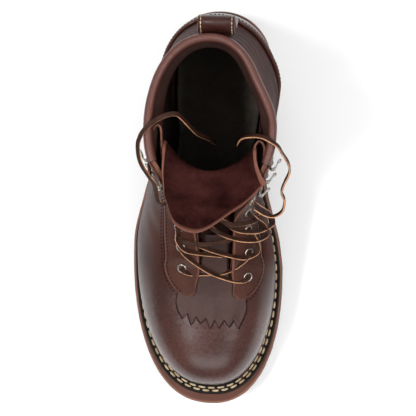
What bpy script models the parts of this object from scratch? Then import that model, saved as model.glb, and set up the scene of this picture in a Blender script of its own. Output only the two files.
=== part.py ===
"""Lace-up leather work boot, right foot: stitched-down sole with a lug tread, one hollow upper, raised
facings and counter, rolled collar, heel pull loop, folded tongue, pinked kiltie, eyelets, hooks and laces.

Metres, +Z up, toe towards -Y, the wearer's outer (lateral) side towards -X. The origin lies on the
ground, under the middle of the heel. "Along" is measured from the back of the sole towards the toe.
"""

import math

import bmesh
import bpy
import numpy as np
from mathutils import Vector
from mathutils.bvhtree import BVHTree

# Driving sizes
SOLE_LENGTH = 0.305
BALL_WIDTH = 0.118
SHAFT_WIDTH = 0.084
COLLAR_HEIGHT = 0.186
ORIGIN_ALONG = 0.040
GAP = 0.0003
SEAT_GAP = 0.0006
OVERLAY_GAP = 0.0010
FACING_GAP = 0.0014

# Heel, lift, plates and tread
HEEL_CAP_THICKNESS = 0.0085
HEEL_LUG_DEPTH = 0.0035
HEEL_STACK_TOP = 0.0250
HEEL_PITCH_RISE = 0.0014
HEEL_LENGTH = 0.078
HEEL_TRIM = 0.0008
LUG_DEPTH = 0.0042
OUTSOLE_THICKNESS = 0.0055
MIDSOLE_THICKNESS = 0.0062
WELT_THICKNESS = 0.0030
TOE_SPRING = 0.0130
FLAT_START = 0.168
FLAT_END = 0.235
TREAD_START = 0.150
TREAD_PITCH = 0.0165
TREAD_GROOVE = 0.0042
HEEL_TREAD_PITCH = 0.0155
WELT_WIDTH = 0.0150
EDGE_ROUNDING = 0.0008

# Upper and its overlays
WALL = 0.0028
BULGE_HEIGHT = 0.0150
COLLAR_ROLL_WIDTH = 0.0062
COLLAR_ROLL_HEIGHT = 0.0085
OVERLAY = 0.0018
FACING_WIDTH = 0.0265
COUNTER_HEIGHT = 0.056
KILTIE_THICKNESS = 0.0018
TONGUE_THICKNESS = 0.0022
INSOLE_RISE = 0.0035
INSOLE_CLEARANCE = 0.0042
LOOP_WIDTH = 0.0250
LOOP_THICKNESS = 0.0022
LOOP_SHIFT = 0.0035

# Lacing
EYELET_COUNT = 5
HOOK_COUNT = 3
FIRST_EYELET = {-1: 0.0220, 1: 0.0165}
EYELET_PITCH = 0.0163
HOOK_PITCH = 0.0165
EYELET_INSET = 0.0125
EYELET_HOLE = 0.0024
EYELET_BARREL = 0.0029
EYELET_FLANGE = 0.0039
HOOK_WIDTH = 0.0055
LACE_RADIUS = 0.0014
LACE_CLEARANCE = 0.0012

# Sole plan: half widths as shares of BALL_WIDTH, stations as shares of SOLE_LENGTH
SIDES = {-1: "lateral", 1: "medial"}
HEEL_ROUND_END = 0.138
WIDEST = {-1: 0.590, 1: 0.672}
TOE_POWER = {-1: 2.30, 1: 2.35}
HEEL_POWER = 2.1
OUTLINE = {
    -1: [  # along, half width
        (0.138, 0.342), (0.245, 0.346), (0.345, 0.388), (0.460, 0.482), (0.590, 0.549),
    ],
    1: [
        (0.138, 0.342), (0.245, 0.330), (0.345, 0.312), (0.425, 0.322), (0.520, 0.381),
        (0.580, 0.424), (0.672, 0.452),
    ],
}

# How far the upper's widest line lies inside the sole edge, as shares of SOLE_LENGTH
LEDGE = [  # along, sides, tip
    (0.00, 0.0065), (0.25, 0.0070), (0.50, 0.0150), (0.72, 0.0200), (1.00, 0.0280),
]
LEDGE_TOE_TIP = 0.0175
LEDGE_HEEL_TIP = 0.0035

# Ridge of the foot: height above the feather line as a share of COLLAR_HEIGHT, power of the section
RIDGE = [  # along, height, power
    (0.00, 0.340, 2.10),
    (0.14, 0.420, 2.10),
    (0.22, 0.620, 1.95),
    (0.30, 0.790, 1.90),
    (0.38, 0.700, 1.90),
    (0.46, 0.575, 1.92),
    (0.525, 0.480, 1.98),
    (0.59, 0.404, 2.06),
    (0.655, 0.347, 2.20),
    (0.72, 0.318, 2.35),
    (0.80, 0.313, 2.50),
    (0.87, 0.315, 2.55),
    (1.00, 0.316, 2.55),
]
TOE_CENTRE = 0.655
TUCK = 2.15
HEEL_INSET = 0.012
FIELD_BLEND = 0.011

# Shaft: level from heel seat (0) to collar (1); along as shares of SOLE_LENGTH, widths of SHAFT_WIDTH
SHAFT = [  # level, back, centre, front, lateral, medial, medial towards the back
    (0.00, 0.0290, 0.170, 0.500, 0.462, 0.470, 0.450),
    (0.10, 0.0262, 0.190, 0.500, 0.486, 0.508, 0.482),
    (0.20, 0.0300, 0.210, 0.510, 0.492, 0.543, 0.500),
    (0.35, 0.0430, 0.230, 0.520, 0.487, 0.543, 0.490),
    (0.55, 0.0710, 0.256, 0.528, 0.480, 0.530, 0.462),
    (0.75, 0.0990, 0.288, 0.518, 0.484, 0.524, 0.442),
    (0.90, 0.1190, 0.315, 0.500, 0.492, 0.530, 0.437),
    (1.00, 0.1280, 0.325, 0.490, 0.500, 0.538, 0.437),
]
SHAFT_POWER = 2.15

# Throat edge from the middle of its foot up to the collar corner
THROAT = [  # along (of SOLE_LENGTH), half gap, middle (of SHAFT_WIDTH), height (of the shaft's top)
    (0.690, 0.000, 0.035, 0.451),
    (0.684, 0.070, 0.038, 0.451),
    (0.668, 0.115, 0.041, 0.462),
    (0.623, 0.150, 0.048, 0.514),
    (0.580, 0.185, 0.052, 0.577),
    (0.535, 0.230, 0.050, 0.651),
    (0.492, 0.290, 0.042, 0.735),
    (0.452, 0.355, 0.030, 0.829),
    (0.420, 0.412, 0.020, 0.927),
    (0.402, 0.445, 0.015, 1.000),
]
COLLAR_DIP = 0.006

# Mesh density of the upper
THROAT_COLUMNS = 15
COLLAR_COLUMNS = 13
UPPER_ROWS = 13


def smooth_table(rows, column, x):
    """Monotone cubic through a table's rows, flat beyond both ends."""
    xs = np.array([r[0] for r in rows], float)
    ys = np.array([r[column] for r in rows], float)
    h = np.diff(xs)
    slope = np.diff(ys) / h
    m = np.zeros(len(xs))
    for i in range(1, len(xs) - 1):
        if slope[i - 1] * slope[i] > 0:
            w1 = 2 * h[i] + h[i - 1]
            w2 = h[i] + 2 * h[i - 1]
            m[i] = (w1 + w2) / (w1 / slope[i - 1] + w2 / slope[i])
    x = np.clip(np.asarray(x, float), xs[0], xs[-1])
    k = np.clip(np.searchsorted(xs, x, side="right") - 1, 0, len(xs) - 2)
    t = (x - xs[k]) / h[k]
    return (
        ys[k] * (1 + 2 * t) * (1 - t) ** 2
        + m[k] * h[k] * t * (1 - t) ** 2
        + ys[k + 1] * t * t * (3 - 2 * t)
        + m[k + 1] * h[k] * t * t * (t - 1)
    )


def smoothstep(low, high, x):
    t = np.clip((np.asarray(x, float) - low) / (high - low), 0.0, 1.0)
    return t * t * (3 - 2 * t)


def unit(v):
    v = np.asarray(v, float)
    return v / np.maximum(np.linalg.norm(v, axis=-1, keepdims=True), 1e-12)


def tread_base(along):
    """Height of the outsole's flat underside, between its lugs."""
    seat = HEEL_STACK_TOP + GAP + HEEL_PITCH_RISE * (1 - np.clip(along / HEEL_LENGTH, 0, 1))
    arch = smoothstep(HEEL_LENGTH * 0.96, FLAT_START, along)
    spring = np.clip((along - FLAT_END) / (SOLE_LENGTH - FLAT_END), 0, None) ** 2
    return seat + (LUG_DEPTH - seat) * arch + TOE_SPRING * spring


def sole_stations():
    """Stations shared by every sole plate, so that their facets stay parallel."""
    ends = 0.5 - 0.5 * np.cos(np.linspace(0, math.pi, 21))
    arch = np.linspace(HEEL_LENGTH, FLAT_START, 8)
    plain = [a for a in ends * SOLE_LENGTH if abs(arch - a).min() > 0.004]
    return np.array(sorted(plain + list(arch)))


STATIONS = sole_stations()


def outsole_top(along):
    return tread_base(along) + OUTSOLE_THICKNESS


def midsole_bottom(along):
    return outsole_top(along) + GAP


def midsole_top(along):
    return midsole_bottom(along) + MIDSOLE_THICKNESS


def welt_bottom(along):
    return midsole_top(along) + GAP


def feather(along):
    """Top of the welt, where the upper meets the sole."""
    return welt_bottom(along) + WELT_THICKNESS


def half_width(along, side, inset=0.0, heel_inset=0.0, toe_inset=0.0):
    """Half width of the sole's plan on one side (-1 lateral, 1 medial), shrunk by the insets."""
    along = np.asarray(along, float)
    inset = np.asarray(inset, float) + np.zeros_like(along)
    middle = smooth_table(OUTLINE[side], 1, along / SOLE_LENGTH) * BALL_WIDTH - inset
    heel_end = HEEL_ROUND_END * SOLE_LENGTH
    toe_start = WIDEST[side] * SOLE_LENGTH
    q = np.clip((heel_end - along) / (heel_end - heel_inset), 0, 1)
    p = np.clip((along - toe_start) / (SOLE_LENGTH - toe_inset - toe_start), 0, 1)
    heel = (1 - q**HEEL_POWER) ** (1 / HEEL_POWER)
    toe = (1 - p ** TOE_POWER[side]) ** (1 / TOE_POWER[side])
    return middle * heel * toe


def ledge(along):
    return smooth_table(LEDGE, 1, np.asarray(along, float) / SOLE_LENGTH) * SOLE_LENGTH


def upper_half(along, side):
    """Half width of the upper at its widest line, from the sole's plan."""
    return half_width(along, side, ledge(along), LEDGE_HEEL_TIP, LEDGE_TOE_TIP)


def toe_radii(count=181):
    """Distance from the toe centre to the upper's widest line, by angle from lateral to medial."""
    centre = TOE_CENTRE * SOLE_LENGTH
    tip = SOLE_LENGTH - LEDGE_TOE_TIP
    a = centre + (tip - centre) * np.sin(np.linspace(0, math.pi / 2, count))
    angles, radii = [], []
    for side in (-1, 1):
        w = upper_half(a, side)
        angle = np.arctan2(side * w, a - centre)
        order = slice(None) if side < 0 else slice(None, None, -1)
        angles.append(angle[order])
        radii.append(np.hypot(w, a - centre)[order])
    return np.concatenate(angles), np.concatenate(radii)


TOE_ANGLES, TOE_RADII = toe_radii()
SORTED = np.argsort(TOE_ANGLES)
TOE_ANGLES, TOE_RADII = TOE_ANGLES[SORTED], TOE_RADII[SORTED]


def foot_field(x, along, z):
    """Negative inside the foot part of the last, about in metres."""
    centre = TOE_CENTRE * SOLE_LENGTH
    heel = HEEL_ROUND_END * SOLE_LENGTH
    a = np.asarray(along, float)
    middle_part = np.clip(a, heel, centre)
    slim = HEEL_INSET * (1 - smoothstep(0.20, 0.42, a / SOLE_LENGTH))
    w = np.where(x < 0, upper_half(middle_part, -1), upper_half(middle_part, 1)) - slim
    back = np.maximum(heel - a, 0) / (heel - LEDGE_HEEL_TIP - HEEL_INSET)
    rho_side = ((np.abs(x) / w) ** HEEL_POWER + back**HEEL_POWER) ** (1 / HEEL_POWER)
    angle = np.arctan2(x, np.maximum(a - centre, 1e-9))
    rho_toe = np.hypot(x, a - centre) / np.interp(angle, TOE_ANGLES, TOE_RADII)
    rho = np.where(a > centre, rho_toe, rho_side)
    share = a / SOLE_LENGTH
    ridge = smooth_table(RIDGE, 1, share) * COLLAR_HEIGHT
    power = smooth_table(RIDGE, 2, share)
    middle = feather(np.clip(a, 0, SOLE_LENGTH)) + BULGE_HEIGHT
    up = np.maximum(z - middle, 0) / (ridge - BULGE_HEIGHT)
    down = np.maximum(middle - z, 0) / (BULGE_HEIGHT * TUCK)
    return ((rho**power + (up + down) ** power) ** (1 / power) - 1) * 0.05


def shaft_field(x, along, z):
    """Negative inside the heel and shaft part of the last."""
    seat = feather(0.0)
    level = (z - seat) / (COLLAR_HEIGHT - seat)
    back, centre, front = (smooth_table(SHAFT, c, level) * SOLE_LENGTH for c in (1, 2, 3))
    reach = np.where(along < centre, centre - back, front - centre)
    q = np.abs(along - centre) / reach
    lateral, medial, slim = (smooth_table(SHAFT, c, level) * SHAFT_WIDTH for c in (4, 5, 6))
    medial = medial + (slim - medial) * np.where(along < centre, smoothstep(0.0, 0.65, q), 0.0)
    w = np.where(x < 0, lateral, medial)
    return ((q**SHAFT_POWER + (np.abs(x) / w) ** SHAFT_POWER) ** (1 / SHAFT_POWER) - 1) * 0.045


def field(points):
    """The upper's outer surface is where this is 0: a smooth union of foot and shaft."""
    x, along, z = points[..., 0], ORIGIN_ALONG - points[..., 1], points[..., 2]
    foot, shaft = foot_field(x, along, z), shaft_field(x, along, z)
    h = np.clip(0.5 + 0.5 * (foot - shaft) / FIELD_BLEND, 0, 1)
    return foot + (shaft - foot) * h - FIELD_BLEND * h * (1 - h)


def gradient(points):
    step = 2e-4
    g = np.zeros(points.shape)
    for axis in range(3):
        d = np.zeros(3)
        d[axis] = step
        g[..., axis] = (field(points + d) - field(points - d)) / (2 * step)
    return g


def normals(points):
    return unit(gradient(points))


def cast(start, direction, low=-0.012, high=0.075, samples=88):
    """Where rays from inside first leave the surface."""
    direction = unit(direction)
    lam = np.linspace(low, high, samples)
    values = np.stack([field(start + direction * v) for v in lam])
    leaves = (values[:-1] < 0) & (values[1:] >= 0)
    first = np.argmax(leaves, axis=0)
    a, b = lam[first], lam[first + 1]
    for _ in range(30):
        m = (a + b) / 2
        outside = field(start + direction * m[..., None]) >= 0
        b = np.where(outside, m, b)
        a = np.where(outside, a, m)
    return start + direction * ((a + b) / 2)[..., None]


def settle(points):
    """Nearest point on the surface, by Newton steps."""
    p = np.array(points, float)
    for _ in range(12):
        g = gradient(p)
        p = p - (field(p) / np.maximum((g * g).sum(-1), 1e-6))[..., None] * g
    return p


def on_surface(points, lift):
    """Points settled on the surface and moved out along its normal by lift."""
    p = settle(points)
    return p + normals(p) * np.asarray(lift)[..., None] if np.ndim(lift) else p + normals(p) * lift


def world(x, along, z):
    x, along, z = np.broadcast_arrays(*(np.asarray(v, float) for v in (x, along, z)))
    return np.stack([x, ORIGIN_ALONG - along, z], axis=-1)


def resample(points, shares):
    """Points at shares of a polyline's length."""
    d = np.concatenate([[0], np.cumsum(np.linalg.norm(np.diff(points, axis=0), axis=1))])
    return np.stack([np.interp(np.asarray(shares) * d[-1], d, points[:, k]) for k in range(3)], axis=-1)


def spline(points, per_span):
    """Centripetal-looking smooth curve through points, by Catmull-Rom spans."""
    p = np.asarray(points, float)
    p = np.vstack([2 * p[0] - p[1], p, 2 * p[-1] - p[-2]])
    out = []
    for i in range(1, len(p) - 2):
        for t in np.linspace(0, 1, per_span, endpoint=False):
            out.append(
                0.5
                * (
                    2 * p[i]
                    + (p[i + 1] - p[i - 1]) * t
                    + (2 * p[i - 1] - 5 * p[i] + 4 * p[i + 1] - p[i + 2]) * t**2
                    + (3 * p[i] - p[i - 1] - 3 * p[i + 1] + p[i + 2]) * t**3
                )
            )
    out.append(p[-2])
    return np.array(out)


def feather_loop(side, count=400):
    """The upper's foot on one side, from the toe tip to the back of the heel, on the sole's plan."""
    t = np.linspace(0, 1, count)
    low, high = LEDGE_HEEL_TIP, SOLE_LENGTH - LEDGE_TOE_TIP
    along = low + (high - low) * (0.5 + 0.5 * np.cos(math.pi * t))
    return world(side * upper_half(along, side) * 0.9, along, feather(along) + SEAT_GAP)


def throat_edge(side, shares):
    """Seed points of the throat's edge at shares of its length, 0 at its foot and 1 at the collar."""
    rows = np.array(THROAT)
    seeds = world(
        (rows[:, 2] + side * rows[:, 1]) * SHAFT_WIDTH, rows[:, 0] * SOLE_LENGTH, rows[:, 3] * shaft_top()
    )
    return resample(spline(seeds, 8), shares)


def shaft_top():
    """Height of the upper's top rim, under the rolled collar."""
    return COLLAR_HEIGHT - COLLAR_ROLL_HEIGHT - GAP


def collar_line(along):
    """The rim dips slightly towards the back."""
    corner = THROAT[-1][0] * SOLE_LENGTH
    back = SHAFT[-1][1] * SOLE_LENGTH
    return shaft_top() - COLLAR_DIP * smoothstep(corner, back, along)


def collar_edge(side, shares):
    """Seed points of the collar's rim from its front corner round to the back."""
    corner = THROAT[-1]
    centre, back = SHAFT[-1][2] * SOLE_LENGTH, SHAFT[-1][1] * SOLE_LENGTH
    start = math.atan2((corner[0] * SOLE_LENGTH - centre) / 0.05, corner[1] * SHAFT_WIDTH / 0.042)
    a = np.linspace(start, -math.pi / 2, 60)
    along = centre + np.where(a > 0, 0.05, centre - back) * np.sin(a)
    x = side * 0.040 * np.cos(a)
    return resample(world(x, along, collar_line(along)), shares)


def upper_columns(side, throat_columns, collar_columns):
    """Foot points, top points, outward directions and upward shares for each column of one side."""
    loop = feather_loop(side)
    split = 0.47
    v = np.linspace(0, 1, throat_columns + 1)
    w = np.linspace(0, 1, collar_columns + 1)[1:]
    foot = resample(loop, np.concatenate([split * v**1.15, split + (1 - split) * w]))
    top = np.vstack([throat_edge(side, 0.75 * v + 0.25 * v**3), collar_edge(side, w)])
    top[: throat_columns + 1, 2] = np.minimum(top[: throat_columns + 1, 2], shaft_top())
    tangent = np.gradient(foot, axis=0)
    out = np.stack([tangent[:, 1], -tangent[:, 0], np.zeros(len(foot))], axis=-1) * side
    out = unit(out)
    out[0] = (0, -1, 0)
    out[-1] = (0, 1, 0)
    rise = np.concatenate([0.92 - 0.55 * v**1.5, 0.37 * (1 - smoothstep(0, 0.35, w))])
    rise[: throat_columns + 1] -= 0.37 * v**6
    rise[throat_columns + 1 :] *= 0
    return foot, top, out, np.maximum(rise, 0)


def upper_grid(throat_columns, collar_columns, rows, lift=0.0):
    """Rings of points from the feather line (first) to the throat and collar edge (last).
    Each ring starts at the toe, runs up the lateral side, round the heel and back on the medial side."""
    sides = []
    for side in (-1, 1):
        foot, top, out, rise = upper_columns(side, throat_columns, collar_columns)
        t = np.linspace(0, 1, rows)
        t = (t + 0.35 * t * t * (1 - t) - 0.30 * t * (1 - t) ** 2)[:, None, None]
        chord = foot + (top - foot) * t
        up = rise[None, :, None] * np.minimum(t * 1.6, 1.0)
        direction = (1 - up) * out[None] + up * np.array([0, 0, 1.0])
        sides.append(cast(chord, direction))
    lateral, medial = sides
    middle = (lateral[:, 0] + medial[:, 0]) / 2
    lateral[:, 0] = middle
    ring = np.concatenate([lateral, medial[:, -2:0:-1]], axis=1)
    ring = ring + normals(ring) * lift
    ring[0, :, 2] = feather(ORIGIN_ALONG - ring[0, :, 1]) + SEAT_GAP
    return ring


def inner_grid(outer, wall):
    inner = outer - normals(outer) * wall
    inner[0, :, 2] = feather(ORIGIN_ALONG - inner[0, :, 1]) + SEAT_GAP
    return inner


def new_object(name, vertices, faces, material, smooth_angle=None, triangulate=True):
    mesh = bpy.data.meshes.new(name)
    mesh.from_pydata([tuple(v) for v in vertices], [], faces)
    bm = bmesh.new()
    bm.from_mesh(mesh)
    bmesh.ops.recalc_face_normals(bm, faces=bm.faces)
    if bm.calc_volume(signed=True) < 0:
        bmesh.ops.reverse_faces(bm, faces=bm.faces)
    if triangulate:
        bmesh.ops.triangulate(bm, faces=bm.faces)
    bm.to_mesh(mesh)
    bm.free()
    if smooth_angle is not None:
        mesh.shade_smooth()
        mesh.set_sharp_from_angle(angle=math.radians(smooth_angle))
    obj = bpy.data.objects.new(name, mesh)
    obj.data.materials.append(material)
    bpy.context.scene.collection.objects.link(obj)
    return obj


def ring_faces(rows, columns, offset=0):
    """Quads of a grid whose columns close on themselves."""
    return [
        (
            offset + r * columns + c,
            offset + r * columns + (c + 1) % columns,
            offset + (r + 1) * columns + (c + 1) % columns,
            offset + (r + 1) * columns + c,
        )
        for r in range(rows - 1)
        for c in range(columns)
    ]


def shell_of_rings(outer, inner):
    """Closed wall between two sets of rings, open at its first and last ring."""
    rows, columns = outer.shape[:2]
    n = rows * columns
    faces = ring_faces(rows, columns) + [f[::-1] for f in ring_faces(rows, columns, n)]
    for row in (0, rows - 1):
        for c in range(columns):
            a, b = row * columns + c, row * columns + (c + 1) % columns
            faces.append((a, b, b + n, a + n) if row else (b, a, a + n, b + n))
    return np.concatenate([outer.reshape(-1, 3), inner.reshape(-1, 3)]), faces


def sheet_solid(outer, inner):
    """Closed solid between two open grids of the same shape."""
    rows, columns = outer.shape[:2]
    n = rows * columns
    faces = []
    for r in range(rows - 1):
        for c in range(columns - 1):
            q = (r * columns + c, r * columns + c + 1, (r + 1) * columns + c + 1, (r + 1) * columns + c)
            faces += [q, tuple(i + n for i in q[::-1])]
    rim = [c for c in range(columns)]
    rim += [r * columns + columns - 1 for r in range(1, rows)]
    rim += [(rows - 1) * columns + c for c in range(columns - 2, -1, -1)]
    rim += [r * columns for r in range(rows - 2, 0, -1)]
    for a, b in zip(rim, rim[1:] + rim[:1]):
        faces.append((b, a, a + n, b + n))
    return np.concatenate([outer.reshape(-1, 3), inner.reshape(-1, 3)]), faces


def loft(sections):
    """Closed solid through closed sections of equal point count, with flat ends."""
    sections = np.asarray(sections, float)
    count, points = sections.shape[:2]
    faces = ring_faces(count, points)
    faces.append(tuple(range(points))[::-1])
    faces.append(tuple((count - 1) * points + i for i in range(points)))
    return sections.reshape(-1, 3), faces


def stations_between(low, high, extra=()):
    """The shared stations that lie between two ends, with two more close to each end and any extra ones."""
    fixed = [low + 0.0002, low + 0.0016, high - 0.0016, high - 0.0002, *extra]
    shared = [a for a in STATIONS if low < a < high and min(abs(a - f) for f in fixed) > 0.0018]
    return np.array(sorted(shared + fixed))


def plate(name, material, stations, bottom, top, insets, rounding):
    """Sole plate: one closed section for each station, with rounded side edges."""
    side_inset, heel_inset, toe_inset = insets
    sections = []
    for s in stations:
        lateral = half_width(s, -1, side_inset, heel_inset, toe_inset)
        medial = half_width(s, 1, side_inset, heel_inset, toe_inset)
        low, high = float(bottom(s)), float(top(s))
        r = min(rounding, 0.3 * lateral, 0.3 * medial)
        e = min(rounding, 0.3 * (high - low))
        section = [
            (-lateral + r, low), (medial - r, low), (medial, low + e), (medial, high - e),
            (medial - r, high), (-lateral + r, high), (-lateral, high - e), (-lateral, low + e),
        ]
        sections.append([world(x, s, z) for x, z in section])
    return new_object(name, *loft(sections), material, 35)


def treaded_plate(name, material, rows, columns, top, base, ground_depth, insets):
    """Plate whose underside carries blocks: rows and columns say where a block stands."""
    side_inset, heel_inset, toe_inset = insets
    sections = []
    for s, row_on in rows:
        lateral = float(half_width(s, -1, side_inset, heel_inset, toe_inset))
        medial = float(half_width(s, 1, side_inset, heel_inset, toe_inset))
        section = []
        for share, column_on in columns:
            depth = ground_depth if row_on and column_on else 0.0
            section.append(((medial + lateral) * share - lateral, float(base(s)) - depth))
        high = float(top(s))
        r = min(EDGE_ROUNDING, 0.3 * lateral, 0.3 * medial)
        section += [
            (medial, high - r), (medial - r, high), (-lateral + r, high), (-lateral, high - r),
        ]
        sections.append([world(x, s, z) for x, z in section])
    return new_object(name, *loft(sections), material, 30)


def tread_rows(low, high, first, last, pitch, groove, closed_ends):
    """Stations with a flag that says whether a tread block stands there."""
    slope = groove * 0.22
    edges = []
    s = first
    while s + pitch - groove <= last + 1e-6:
        end = s + pitch - groove
        edges += [(s - slope, False), (s, True), (end, True), (end + slope, False)]
        s += pitch
    edges = [e for e in edges if low < e[0] < high]
    plain = stations_between(low, high)
    rows = list(edges)
    for p in plain:
        before = [e for e in edges if e[0] <= p]
        after = [e for e in edges if e[0] > p]
        if any(abs(p - e[0]) < 0.0012 for e in edges):
            continue
        on = bool(before and after and before[-1][1] and after[0][1])
        if closed_ends and not after and before and before[-1][1]:
            on = True
        rows.append((float(p), on))
    return sorted(rows)


TREAD_COLUMNS = [  # share of the width, block
    (0.0, True), (0.240, True), (0.255, False), (0.305, False), (0.320, True), (0.680, True),
    (0.695, False), (0.745, False), (0.760, True), (1.0, True),
]


def build_outsole(material):
    rows = tread_rows(0.0, SOLE_LENGTH, TREAD_START, SOLE_LENGTH - 0.006, TREAD_PITCH, TREAD_GROOVE, False)
    return treaded_plate(
        "outsole", material, rows, TREAD_COLUMNS, outsole_top, tread_base, LUG_DEPTH, (0.0, 0.0, 0.0)
    )


def heel_cap_base(along):
    return HEEL_LUG_DEPTH + 0 * along


def heel_cap_top(along):
    return HEEL_CAP_THICKNESS + 0 * along


def build_heel_cap(material):
    trim = HEEL_TRIM
    first = ORIGIN_ALONG - HEEL_TREAD_PITCH * 2.5 + TREAD_GROOVE / 2
    rows = tread_rows(
        trim, HEEL_LENGTH, first, HEEL_LENGTH - 0.001, HEEL_TREAD_PITCH, TREAD_GROOVE, True
    )
    rows = [r for r in rows if r[0] <= HEEL_LENGTH - 0.0015] + [(HEEL_LENGTH, False)]
    return treaded_plate(
        "heel_cap", material, rows, TREAD_COLUMNS, heel_cap_top, heel_cap_base, HEEL_LUG_DEPTH, (trim, trim, 0.0)
    )


def build_heel(material):
    def low(along):
        return HEEL_CAP_THICKNESS + GAP + 0 * along

    def high(along):
        return tread_base(along) - GAP

    stations = stations_between(HEEL_TRIM, HEEL_LENGTH)
    return plate("heel", material, stations, low, high, (HEEL_TRIM, HEEL_TRIM, 0.0), EDGE_ROUNDING)


MIDSOLE_INSETS = (0.0010, 0.0010, 0.0030)
WELT_INSETS = (0.0021, 0.0014, 0.0078)


def build_midsole(material):
    side, heel, toe = MIDSOLE_INSETS
    stations = stations_between(heel, SOLE_LENGTH - toe)
    return plate("midsole", material, stations, midsole_bottom, midsole_top, MIDSOLE_INSETS, EDGE_ROUNDING * 2)


def plan_loop(insets):
    """Closed plan line of the sole, shrunk by the insets, as rows of (x, along)."""
    side, heel, toe = insets
    along = stations_between(heel, SOLE_LENGTH - toe)[::-1]
    along[0], along[-1] = SOLE_LENGTH - toe, heel
    lateral = np.stack([-half_width(along, -1, side, heel, toe), along], axis=-1)
    medial = np.stack([half_width(along, 1, side, heel, toe), along], axis=-1)
    return np.concatenate([lateral, medial[-2:0:-1]])


def build_welt(material):
    """Strip that runs round under the upper's edge, open in the middle for the insole."""
    outer = plan_loop(WELT_INSETS)
    ahead, behind = np.roll(outer, -1, axis=0), np.roll(outer, 1, axis=0)
    along_dir = unit(ahead - behind)
    inward = np.stack([-along_dir[:, 1], along_dir[:, 0]], axis=-1)
    centre = outer.mean(axis=0)
    inward *= np.sign(((centre - outer) * inward).sum(-1).mean())
    inner = outer + inward * WELT_WIDTH
    e = EDGE_ROUNDING
    profile = [
        (outer + inward * e, 0.0), (outer, e), (outer, WELT_THICKNESS - e), (outer + inward * e, WELT_THICKNESS),
        (inner, WELT_THICKNESS), (inner, 0.0),
    ]
    rings = np.stack([world(p[:, 0], p[:, 1], welt_bottom(p[:, 1]) + h) for p, h in profile])
    count = outer.shape[0]
    faces = ring_faces(len(profile), count)
    last = (len(profile) - 1) * count
    faces += [(last + c, last + (c + 1) % count, (c + 1) % count, c) for c in range(count)]
    return new_object("welt", rings.reshape(-1, 3), faces, material, 35)


def inside_half(along, side, height):
    """Half width inside the upper at a station and a height above the welt."""
    start = world(0.0, along, feather(along) + height)[None]
    hit = cast(start, np.array([[float(side), 0, 0]]), low=0.002, high=0.075)
    return abs(hit[0, 0]) - WALL - INSOLE_CLEARANCE


def inside_end(toeward):
    """Station where the inside of the upper ends, at the toe or the heel."""
    along = 0.62 * SOLE_LENGTH if toeward else 0.25 * SOLE_LENGTH
    tip = SOLE_LENGTH - LEDGE_TOE_TIP if toeward else 0.0
    start = world(0.0, along, feather(tip) + INSOLE_RISE)[None]
    hit = cast(start, np.array([[0.0, -1.0 if toeward else 1.0, 0]]), low=0.002, high=0.12)
    reach = (WALL + INSOLE_CLEARANCE) * (-1 if toeward else 1)
    return ORIGIN_ALONG - hit[0, 1] + reach


def build_insole(material):
    """Insole: its narrow lower part fills the welt's opening, its rim rests on the welt."""
    low, high = inside_end(False), inside_end(True)
    core_side = WELT_INSETS[0] + WELT_WIDTH + INSOLE_CLEARANCE
    core_low = WELT_INSETS[1] + WELT_WIDTH + INSOLE_CLEARANCE
    core_high = SOLE_LENGTH - WELT_INSETS[2] - WELT_WIDTH - INSOLE_CLEARANCE
    sections = []
    steps = (core_low, core_low + 0.003, core_high - 0.003, core_high)
    for s in stations_between(low, high, steps):
        wide = {k: inside_half(s, k, 0.0) for k in SIDES}
        core = {k: half_width(s, k, core_side, core_low, SOLE_LENGTH - core_high) for k in SIDES}
        core = {k: max(min(core[k], wide[k] - 0.0004), 0.0) for k in SIDES}
        lip = float(feather(s)) + SEAT_GAP
        inside = core_low + 0.002 < s < core_high - 0.002 and min(core.values()) > 0.004
        foot = float(welt_bottom(s)) + GAP if inside else lip - 0.00005
        core = core if inside else {k: wide[k] * 0.5 for k in SIDES}
        top = lip + INSOLE_RISE
        section = [
            (-core[-1], foot), (core[1], foot), (core[1], lip), (wide[1], lip), (wide[1], top - 0.0006),
            (wide[1] - 0.0008, top), (-wide[-1] + 0.0008, top), (-wide[-1], top - 0.0006), (-wide[-1], lip),
            (-core[-1], lip),
        ]
        sections.append([world(x, s, z) for x, z in section])
    return new_object("insole", *loft(sections), material, 30)


def build_upper(material):
    outer = upper_grid(THROAT_COLUMNS, COLLAR_COLUMNS, UPPER_ROWS)
    return new_object("upper", *shell_of_rings(outer, inner_grid(outer, WALL)), material, 50, False)


def edge_frames(side, distances):
    """Surface point, outward normal and direction away from the throat at distances along its edge."""
    dense = settle(throat_edge(side, np.linspace(0, 1, 240)))
    length = np.concatenate([[0], np.cumsum(np.linalg.norm(np.diff(dense, axis=0), axis=1))])
    p = np.stack([np.interp(distances, length, dense[:, k]) for k in range(3)], axis=-1)
    q = np.stack([np.interp(np.asarray(distances) + 0.002, length, dense[:, k]) for k in range(3)], axis=-1)
    r = np.stack([np.interp(np.asarray(distances) - 0.002, length, dense[:, k]) for k in range(3)], axis=-1)
    n = normals(p)
    away = unit(np.cross(q - r, n)) * side
    return p, n, away, length[-1]


def walk(points, away, distance, steps=6):
    """Moves points over the surface, away from the throat, by a distance."""
    p, d = np.array(points), np.array(away)
    step = np.asarray(distance) / steps
    for _ in range(steps):
        moved = p + d * (step[..., None] if np.ndim(step) else step)
        q = settle(moved)
        n = normals(q)
        d = unit(d - (d * n).sum(-1, keepdims=True) * n)
        p = q
    return p


FACING_START = 0.0075
FACING_OVER_KILTIE = 0.030
FACING_TOP = 0.0034


def facing_lift(distance):
    """Height of the facing's underside over the upper: it climbs over the kiltie near the toe."""
    over = 1 - smoothstep(FACING_OVER_KILTIE - 0.008, FACING_OVER_KILTIE, distance)
    return FACING_GAP + (KILTIE_THICKNESS + OVERLAY_GAP) * over


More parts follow.
